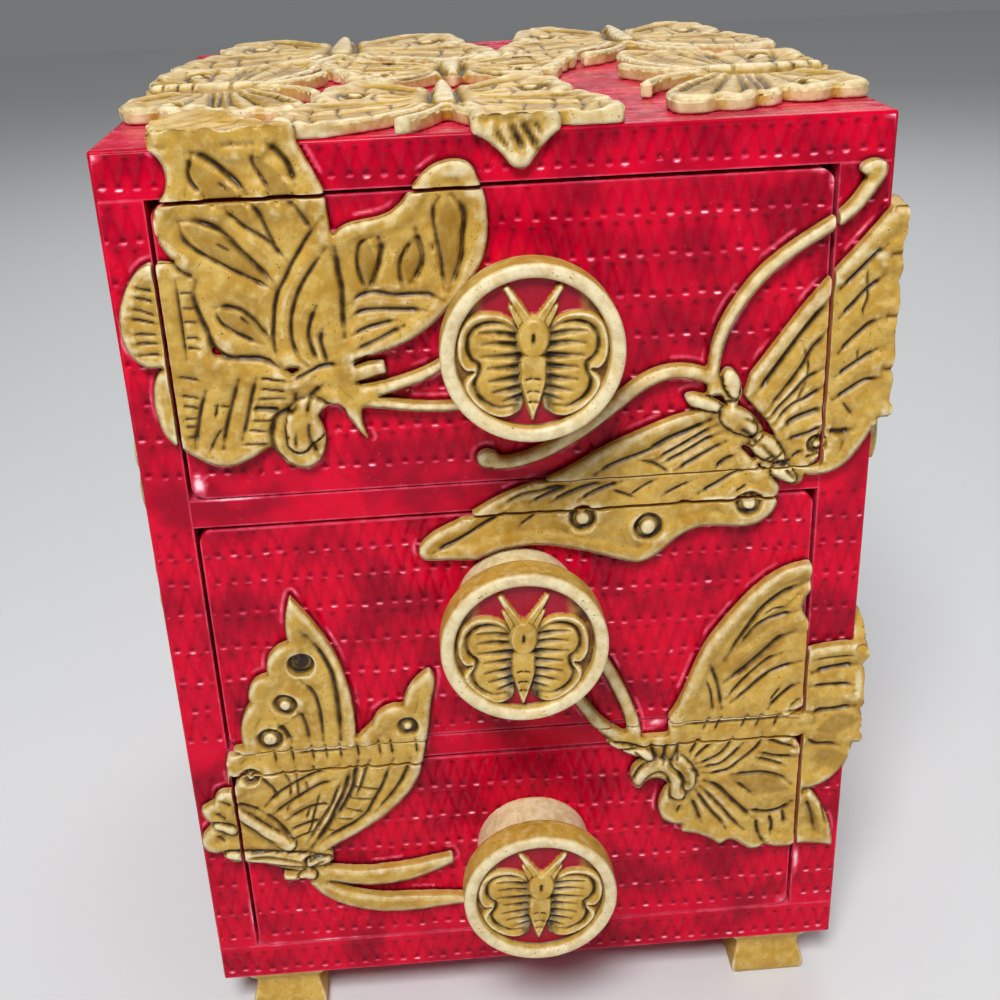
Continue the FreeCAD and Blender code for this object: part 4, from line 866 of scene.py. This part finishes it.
lowerRight = {
    "deep": [
        [(42.1, 67.4), (39.8, 66.4), (37.2, 64.6), (35.25, 62.7), (33.6, 60.1), (32, 57.5), (30.4, 54.9)],
        [(40.4, 58.8), (38.5, 58.1), (36.9, 56.5), (35.25, 54.9), (33.6, 53.3), (32, 52), (30.4, 51)],
        [(27.8, 33.4), (30.1, 31.8), (32, 29.5), (33.95, 27.3), (35.9, 25.3)],
        [(34.9, 27.3), (37.2, 26.3), (40.1, 26.6), (41.7, 28.2)],
        [(32, 34.1), (33.95, 33.9), (37.2, 33.8), (39.8, 32.8), (41.4, 31.5)],
        [(43.7, 51.6), (46.5, 52.2), (50.2, 52.6)], [(43.4, 44.7), (47, 44.7), (50.5, 45.2)],
    ],
    "mid": [
        [(40.8, 62.7), (38.5, 62), (36.55, 61.4), (34.9, 60.4), (33.6, 58.8), (32, 56.8)],
        [(38.8, 55.5), (36.9, 54.6), (34.9, 52.9), (33.3, 51.3), (32, 49.7), (30.7, 48.1)],
        [(41.7, 53.9), (39.8, 53.3), (37.2, 52.3), (35.25, 50.7), (33.6, 49.05), (31.4, 47.4)],
        [(28.1, 54.6), (29.4, 50.7), (30.1, 46.5)], [(41.7, 50), (40.1, 49.05), (38.2, 47.1), (37.2, 45.8)],
        [(16.1, 41.5), (18.1, 38.6), (18.7, 37.6)], [(19.4, 41.5), (19.7, 39.6), (20.3, 38)],
        [(21.8, 40.8), (21.5, 38.6), (21.2, 37.6)], [(23.7, 40.9), (23.4, 38.6), (23.3, 37.6)],
        [(27, 41.5), (25.85, 39.3), (25.5, 38.3)], [(28.8, 40.2), (27.1, 38.6), (26.2, 37.5)],
        [(32, 41.2), (31.4, 39.6), (30.1, 38), (28.1, 37), (26.5, 36.8)],
        [(33.6, 39.9), (32.3, 38), (30.4, 36.3), (28.8, 36), (27.1, 36)],
        [(36.55, 41.5), (36.2, 39.6), (34.9, 38), (33, 36.3), (31.4, 35), (29.1, 34.7), (27.5, 34.9)],
        [(37.2, 40.2), (39.5, 39.3), (41.7, 38.6)], [(36.2, 38), (38.5, 37), (41.7, 36.7)],
        [(35.6, 37), (38.2, 36), (40.4, 35)], [(32.7, 32.8), (34.3, 31.2), (35.6, 29.9)],
        [(27.1, 32.5), (29.1, 29.9), (30.7, 27.9), (32.3, 25.6), (34.3, 23.4)],
        [(26.5, 31.8), (27.5, 29.9), (29.1, 27.3), (30.7, 25.3), (31.4, 24)],
        [(25.85, 30.2), (26.5, 28.6), (27.5, 25.6)], [(36.2, 25.6), (36.55, 23), (37.2, 21.4), (37.85, 20.5)],
        [(38.2, 26), (38.8, 24), (38.6, 22.2)], [(40.4, 26.6), (40.8, 24)],
        [(23.3, 36), (24.2, 34.4), (24.2, 32.5)], [(43.4, 49.2), (47, 49.3), (50.2, 49.2)],
        [(43.8, 28.9), (45, 25.6), (45.6, 22.5)], [(43.3, 40.4), (44.6, 38.9), (46.6, 38.6), (48.6, 38.4)],
    ],
    "fine": (
        [[(39.1, 63.3), (37.2, 63), (35.6, 62)], [(27.5, 52), (28.4, 49.4), (28.8, 45.8)],
         [(24.2, 29.2), (23.6, 27.9)], [(24.9, 32.3), (24.6, 29.8)], [(41.9, 47.6), (40.4, 46.2)],
         [(38.9, 49.6), (37.4, 47.3)], [(46.4, 27.6), (47.4, 23.2)], [(43.5, 54), (50.2, 54.4)],
         [(25.2, 36.6), (26.6, 35.2), (26.8, 33.8)], [(22.7, 44.1), (42, 44.1)], [(39.8, 45.4), (43, 45.3)]]
        + [[(x, 45.3), (x - 1.1, 42.7)] for x in (28.4, 30.2, 34.2, 36.4, 39.2)]),
}
frontButterflies = {
    "upper_left": {
        "lines": upperLeft, "pits": [(-23.1, 97.1, 1.7, 0.6, 0.6)],
        "wells": [(-38.2, 131.4, -30.6, 122.4, 3.4), (-29.9, 131.6, -25.6, 124.2, 2.8),
                  (-39.9, 123.9, -29.2, 114.8, 3.6), (-36.9, 112.7, -30.8, 107.2, 2.8),
                  (-17, 120.7, -18, 113.9, 2.8), (-10.9, 120.4, -12.2, 114, 2.8),
                  (-6.6, 125.5, -7.4, 113.2, 3.8)],
        "bodies": [([(-26.4, 97.2), (-27.4, 95.4), (-28.1, 93.9)], 2.9)],
        "spots": [(-5, 128.3, 3, 1), (-22.9, 129.6, 0.7, 2.2), (-41.6, 131, 0.8, 3.2),
                  (-45.4, 97.6, 0.5, 3.4), (-3.4, 125.8, 1.4, 1.2), (-20.2, 104.6, 0.5, 2)]},
    "upper_right": {
        "lines": upperRight,
        "eyes": [(9.5, 79.8, 1.9), (18.7, 77.8, 2.1), (32.8, 80.5, 1.9), (41.8, 88.8, 1.5)],
        "bodies": [([(29.8, 99.2), (30.1, 97)], 1.3), ([(24.6, 96.4), (28, 95)], 1.05),
                   ([(30.3, 93.8), (32.4, 91.6)], 2), ([(34.2, 89.2), (36.6, 87.2)], 1.7),
                   ([(37, 85.1), (38.6, 83.9)], 1.3)],
        "spots": [(10, 85.6, 5, 0.35), (29, 81.6, 4, 0.35), (50.8, 91, 0.8, 4), (47.8, 114.8, 2.4, 0.9)]},
    "lower_left": {
        "lines": lowerLeft, "pits": [(-31.5, 59.2, 2.05, 1.3, 1)],
        "eyes": [(-34.4, 52.7, 1.8), (-37.2, 46.9, 2), (-16.9, 47.4, 1.6), (-40.8, 40.6, 1.5)],
        "bodies": [([(-36.6, 27.5), (-40.3, 30.7), (-43.4, 34.2)], 1.2),
                   ([(-33.6, 24.2), (-39.7, 25.2), (-45.6, 26.3)], 1.3), ([(-33.2, 23.8), (-30.9, 24.1)], 1),
                   ([(-33.9, 21.4), (-35, 21.2)], 1.1), ([(-44.9, 30.9), (-46.9, 32)], 0.9)],
        "spots": [(-43.4, 45, 0.9, 1), (-29, 44.6, 7, 0.3), (-16, 54.4, 0.7, 1.6)]},
    "lower_right": {
        "lines": lowerRight,
        "wells": [(31.2, 33.9, 41.6, 30.6, 4.2), (29.6, 50.4, 41.4, 60.4, 2.6), (31, 55.4, 41.4, 66, 1.8),
                  (45, 35, 50.4, 36.6, 3.4), (44.4, 41.4, 51.4, 43, 3.4), (43.6, 28.4, 46.6, 21.4, 2)],
        "pits": [(37.3, 32, 2.4, 0.3, 0), (48.2, 43.4, 2.6, 0.6, 0), (46.3, 36.2, 3.2, 0.6, 0)],
        "bodies": [([(23.8, 31.8), (23.7, 33.9), (22.9, 36), (20.9, 37.2), (18.7, 36.4), (17.4, 34.5)], 1.3),
                   ([(23.7, 37.6), (25.1, 35.8), (25.6, 33.7), (25.2, 32.7)], 1.1),
                   ([(19.2, 39), (16.1, 40.6), (13.4, 41.5)], 0.9)],
        "spots": [(42.2, 66, 0.5, 2.6), (30, 44.6, 9, 0.3), (50.6, 49, 0.7, 3)]},
}
lapLines = {"mid": [[(-40.5, 0.2), (-38.6, 4.5), (-36, 8.5)], [(-36, 0.2), (-33.8, 4), (-30, 7.5)],
                    [(-32, 0.2), (-28.5, 3)], [(-38.5, 8.5), (-33.5, 6.5), (-28, 6)]]}
wrapLines = {  # on the right side of the case: distance behind the front edge, height
    "upper_right": {"deep": [[(-1.5, 116), (4, 112.6), (11, 108.4)], [(-1.5, 105), (5, 102.6), (13, 100)]],
                    "mid": [[(-1.5, 111), (6, 107), (12, 104.4)], [(-1.5, 99), (6, 97), (11, 95)],
                            [(-1.5, 94.4), (5, 91), (8, 88)]]},
    "lower_right": {"deep": [[(-1.5, 52.6), (5, 52.2), (12, 51)], [(-1.5, 44.8), (6, 44), (15, 42.6)]],
                    "mid": [[(-1.5, 49.2), (6, 48.6), (13, 47.2)], [(-1.5, 40.6), (6, 39), (14, 37)],
                            [(3, 35), (8, 33.4), (12, 32.4)]]},
}
for start, butterfly in frontButterflies.items():
    for node in [name for name in nodes if name.startswith(start + "_butterfly")]:
        views = [dict(butterfly, flat=onFront, out=(0, -1, 0))]
        if node == "upper_left_butterfly_case":
            views.append({"flat": onTop, "out": (0, 0, 1), "lines": lapLines})
        if node.endswith("case") and "right" in node:
            views.append({"flat": onRight, "out": (1, 0, 0), "lines": wrapLines[start]})
        carve(node, "front", views)
print("front butterflies carved")


# Butterflies on the top and sides, all cut to one pattern: u across the wings, v towards the head
halfPattern = {
    "deep": [
        [(2.4, 3.6), (6, 6.4), (10.5, 9.2), (15.4, 11.2)], [(1.9, 5), (1.9, 1), (1.6, -4), (1, -8.6)],
        [(3, -0.4), (7.4, 0.2), (12, 0.8), (16.4, 2.2)],
    ],
    "mid": [
        [(2.6, 2.6), (7, 4.4), (12.5, 6.4), (18, 8.2)], [(2.6, 1.6), (8, 2.6), (13, 3.6), (18.2, 5.4)],
        [(2.6, 0.8), (8.4, 1.4), (13.4, 2), (17, 3.4)], [(2.6, -1.4), (7, -2.2), (11, -2.6), (15.2, -2.2)],
        [(2.6, -2.6), (6.4, -4.4), (10, -6), (14, -6.6)],
        [(2.6, -3.8), (5.4, -6.6), (8.4, -9.2), (11.6, -10.6)],
        [(2.4, -5.2), (4.2, -8), (6.4, -10.4), (8.6, -12.2)],
    ],
    "fine": [
        [(8.4, 9.6), (9.4, 5.4)], [(11.6, 10.8), (12.6, 6.6), (12.8, 2.2)],
        [(14.8, 11.8), (15.8, 7.6), (15.6, 3.2)], [(17.2, 11.6), (17.4, 8.2)], [(6.4, 5.6), (6.6, 2.4)],
        [(8.2, -0.2), (8.8, -2.4), (8.2, -5)], [(12.6, -0.6), (13.2, -3.6), (12.4, -6.4)],
        [(6.2, -4.6), (7, -7.4)], [(9.8, -6.4), (9.6, -9.8)], [(0.1, 1.9), (1.5, 1.9)],
        [(0.1, -3), (1.2, -3.2)], [(0.1, -5), (1.1, -5.2)], [(0.1, -7), (0.9, -7.2)],
    ],
}
wholePattern = {kind: lines + [[(-u, v) for u, v in line] for line in lines]
                for kind, lines in halfPattern.items()}
topPlaces = {  # middle (x, distance from the front edge), heading in degrees, half span, length
    "top_front": ((-6, 17.5), -90, 22, 1.3), "top_left": ((-38.5, 38), 0, 26, 0.85),
    "top_right": ((38, 30), 180, 26, 0.95), "top_middle": ((-4, 49), 90, 21, 1),
    "top_back_left": ((-22, 80), -90, 27, 1.3), "top_back_right": ((27, 79), -90, 23, 1.5),
}
sidePlaces = {  # middle (distance from the front edge, height above the underside), heading, half span
    "left_side_upper": ((58, 106), 95, 24), "left_side_middle": ((27.5, 72), 76, 25),
    "left_side_lower": ((66, 34), 70, 26), "right_side_upper": ((46, 96), 100, 25),
    "right_side_middle": ((80, 71), 160, 17), "right_side_lower": ((46, 36), 110, 24),
}


def onPattern(axes, start, middle, heading, halfSpan, length=1):
    # The way from a point on the case to the pattern's own u and v
    turn = math.radians(heading - 90)
    size = halfSpan / 20     # the pattern is drawn with a half span of 20

    def toFlat(points):
        x, y = (points[:, axes] - np.array(start) - np.array(middle)).T
        return np.stack([(x * math.cos(turn) + y * math.sin(turn)) / size,
                         (y * math.cos(turn) - x * math.sin(turn)) / (size * length)], 1)
    return toFlat


patternWells = [(6.4, 4.8, 15.6, 10.2, 2.6), (7.6, 1.2, 15.2, 3.6, 1.9), (3.4, -1.8, 7, -9, 2.2)]
patternWells += [(-x0, y0, -x1, y1, wide) for x0, y0, x1, y1, wide in patternWells]
pattern = {"lines": wholePattern, "bodies": [([(0, 3.6), (0, -1), (0, -8)], 1.4)],
           "eyes": [(11, -4.6, 1.9), (-11, -4.6, 1.9)], "wells": patternWells}
tipLines = {"deep": [[(1.3, 133.6), (2.4, 131.4), (3, 130)], [(2.7, 133.8), (3.9, 131.8), (4.6, 130.4)]],
            "mid": [[(-0.4, 132.8), (1, 130.6)], [(4.4, 133.6), (5.2, 132)]]}
for name, place in topPlaces.items():
    views = [dict(pattern, flat=onPattern([0, 1], (0, frontY / mm), *place), out=(0, 0, 1))]
    if name == "top_front":
        views.append({"flat": onFront, "out": (0, -1, 0), "lines": tipLines})
    carve(name + "_butterfly", "top", views)
for name, place in sidePlaces.items():
    carve(name + "_butterfly", "side", [
        dict(pattern, flat=onPattern([1, 2], (frontY / mm, underside), *place),
             out=(-1, 0, 0) if name.startswith("left") else (1, 0, 0))])
print("top and side butterflies carved")


# Knob discs: turned on a lathe, with a butterfly cut into the sunk red face
knobFace = {"radius": 9.4, "sunk": 1.5, "step": 0.18, "around": 280, "wing": 0.95, "body": 1.35,
            "head": (2.15, 2.95), "tail": 1.75}
knobRim = [  # the rim's section from the sunk face outwards: beyond the face's radius, behind the front
    (0.08, 0.95), (0.16, 0.55), (0.3, 0.26), (0.55, 0.08), (0.9, 0),
]
knobEdge = [(0.5, 0.04), (0.2, 0.16), (0.05, 0.4), (0, 0.8)]  # inwards from the disc's side, behind the front
knobBack = [(0, 0.9), (0.08, 0.35), (0.3, 0.1), (0.7, 0)]     # the same at the back: in front of it
knobWing = [(1.2, 1.5), (1.9, 3.5), (3.4, 4.9), (5.4, 5.3), (7.3, 4.9), (8.7, 3.5), (9.3, 1.3), (9.1, -0.8),
            (8.3, -2), (7.3, -2.2), (8.3, -3.2), (8.4, -4.5), (7.4, -6.2), (5.9, -7.5), (3.9, -8.2),
            (2.1, -7.7), (1.1, -6)]
knobBand = [(2.2, 2.7), (3.2, 3.7), (5.1, 4.05), (6.8, 3.6), (7.8, 2.4), (8, 0.8), (7.5, -0.5), (6.6, -1.3),
            (6.7, -2.5), (7.2, -3.6), (6.9, -4.9), (5.9, -6.1), (4.3, -6.8), (2.6, -6.6)]
knobRibs = [[(1.7, 2.3), (4, 2.7), (6.5, 2.8)], [(1.8, 1.1), (4, 1.4), (6.2, 1.3)],
            [(1.8, -0.2), (6.3, -0.3)], [(1.7, -1.6), (5.5, -1.8)], [(1.6, -3), (5.4, -3.4)],
            [(1.5, -4.3), (4.8, -4.8)], [(1.4, -5.4), (3.6, -6)]]
knobFeelers = [((0.7, 4.2), (3.2, 8.2), 0.55, 0.95), ((1.5, 3.6), (2.7, 5.9), 0.5, 0.75)]  # the last: height
knobTailBands = [[(0, -3), (1, -3.2)], [(0, -4.6), (0.8, -4.8)], [(0, -6), (0.6, -6.1)]]
knobs = {  # turn in degrees, stretch of the wings across and up, offset of the drawing
    "top": (-2, 1, 1, (0, 0)), "middle": (-2, 0.96, 1, (-0.2, -0.5)), "bottom": (-4, 1, 0.93, (0, 0.2)),
}


def knobDrawing(flat, turn, wide, tall, shift):
    # Height above the sunk face, how dark the cuts are, with painted shade on the wings beside the body, and
    # where the red face shows
    angle = math.radians(turn)
    x, y = (flat - np.array(shift)).T
    x, y = x * math.cos(angle) + y * math.sin(angle), y * math.cos(angle) - x * math.sin(angle)
    x, y = x / wide, y / tall
    half = np.stack([abs(x), y], 1)
    edge = smoothLine(knobWing + knobWing[:1], 6)
    gap = distanceTo(half, edge, 99)[1]
    into = np.where(inside(half, edge[:-1]), gap, -gap)
    wing = knobFace["wing"] * ramp(into, -0.12, 0.3) - 0.12 * ramp(into, 0.3, 1.6)
    depth, mark = np.zeros(len(flat)), np.zeros(len(flat))
    cutLines(half, depth, mark, [knobBand], 0.6, 0.6)
    for line in knobRibs:  # deepest and darkest at the body, running out towards the rim of the wing
        near, gap, along = distanceTo(half, smoothLine(line), 1.2)
        groove = (1 - 0.7 * along) * np.exp(-(gap / (0.5 - 0.2 * along)) ** 2)
        depth[near] = np.maximum(depth[near], 0.95 * groove)
        mark[near] = np.maximum(mark[near], 1.2 * groove)
    # painted shade on the wings next to the body
    mark = np.maximum(mark, 0.75 * np.exp(-(np.maximum(half[:, 0] - 1.9, 0) / 0.9) ** 2) * (wing > 0.1))
    height = np.maximum(wing - depth * (wing > 0.1), 0)
    for base, tip, thick, top in knobFeelers:
        near, gap, along = distanceTo(half, np.array([base, tip]), 2)
        height[near] = np.maximum(height[near], top * ramp(thick * (1.25 - 0.5 * along) - gap, -0.12, 0.25))
    chest = 1 - (half[:, 0] / knobFace["head"][0]) ** 2 - ((y - 2.1) / knobFace["head"][1]) ** 2
    tail = knobFace["tail"] * np.clip((y + 8.9) / 5.4, 0, 1) ** 0.85 * np.clip((0.2 - y) / 0.9, 0, 1) ** 0.5
    trunk = np.maximum(knobFace["body"] * ramp(chest, -0.12, 0.5),
                       (knobFace["body"] - 0.1) * ramp(tail - half[:, 0], -0.15, 0.45))
    cross, lineMark = np.zeros(len(flat)), np.zeros(len(flat))
    cutLines(half, cross, lineMark, knobTailBands, 0.35, 0.3)
    cutLines(half, cross, lineMark, [[(0, 2.7), (0, 1.3)]], 0.5, 0.45)
    trunk = trunk - cross * (trunk > 0.5)
    body = trunk > height
    red = (height < 0.22) & (into < -0.02) & (trunk < 0.25)
    return np.maximum(height, trunk), np.where(body, lineMark, mark), red


def turnedDisc(node, tier):
    low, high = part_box(node)
    centre = Vector(((low.x + high.x) / 2, 0, (low.z + high.z) / 2))
    radius = (high.x - low.x) / 2 / mm
    back, front = high.y / mm, low.y / mm
    floor = front + knobFace["sunk"]
    face = knobFace["radius"]
    profile = [(0, floor)] + [(r, floor) for r in np.arange(knobFace["step"], face, knobFace["step"])]
    profile += [(face, floor)] + [(face + outwards, front + behind) for outwards, behind in knobRim]
    profile += [(radius - inwards, front + behind) for inwards, behind in knobEdge]
    profile += [(radius - inwards, back - ahead) for inwards, ahead in knobBack]
    profile += [(radius * 0.7, back), (0, back)]
    form = bmesh.new()
    ring = [form.verts.new((centre.x + r * mm, y * mm, centre.z)) for r, y in profile]
    edges = [form.edges.new(pair) for pair in zip(ring, ring[1:])]
    bmesh.ops.spin(form, geom=ring + edges, cent=(centre.x, 0, centre.z), axis=(0, 1, 0), dvec=(0, 0, 0),
                   angle=2 * math.pi, steps=knobFace["around"], use_merge=True, use_normal_flip=False,
                   use_duplicate=False)
    bmesh.ops.remove_doubles(form, verts=form.verts, dist=0.0005 * mm)
    bmesh.ops.recalc_face_normals(form, faces=form.faces)
    for polygon in form.faces:
        polygon.smooth = True
    piece = finish(form, node)
    mesh = piece.data
    points = readArray(mesh.vertices, "co", 3)
    flat = (points[:, [0, 2]] - [centre.x, centre.z]) / mm
    held = np.where((np.hypot(*flat.T) < face - 0.02) & (points[:, 1] < (floor + 0.1) * mm))[0]
    height, cut, red = knobDrawing(flat[held], *knobs[tier])
    points[held, 1] -= height * mm
    mesh.vertices.foreach_set("co", points.astype(np.float32).ravel())
    stand = standing(mesh, 5) * 6
    # creases darkened as umber wash and painted shade, ridges rubbed pale
    marks = {"cut": np.maximum(-stand, 0), "wearAndSheen": stand, "red": np.zeros(len(points))}
    beside = ramp(abs(flat[held, 0]), 5.5, 7.5) * red  # umber wash beside the wings, red above and below
    marks["cut"][held] = np.maximum(marks["cut"][held] * ~red, np.maximum(cut, 0.75 * beside))
    marks["red"][held] = red * (1 - 0.85 * beside)
    rim = np.hypot(*flat.T) > face + 0.05
    marks["wearAndSheen"][rim] = 1.05 - 0.6 * ramp(points[rim, 1] / mm, front + 0.2, front + 0.7)
    marks["cut"][rim] = 0
    for name, values in marks.items():
        writeMark(mesh, name, values)
    print(node, len(mesh.polygons))


for tier in knobs:
    turnedDisc("drawer_" + tier + "_knob", tier)
print("knobs turned and carved")


# Knob stems and feet: the CAD forms with their edges eased and rubbed
easedForm = {"size": 0.3, "relax": 2, "gain": 4.0, "stemFaded": 1.05}
for name in [name for name in nodes if name.endswith(("_foot", "_knob_stem"))]:
    mesh = finish(relaxed(remeshed(name, easedForm["size"]), easedForm["relax"]), name).data
    stand = standing(mesh, 8) * easedForm["gain"]
    # creases darkened as umber wash and painted shade
    writeMark(mesh, "cut", -stand)
    writeMark(mesh, "wearAndSheen", stand + (easedForm["stemFaded"] if name.endswith("stem") else 0))
print("stems and feet eased")
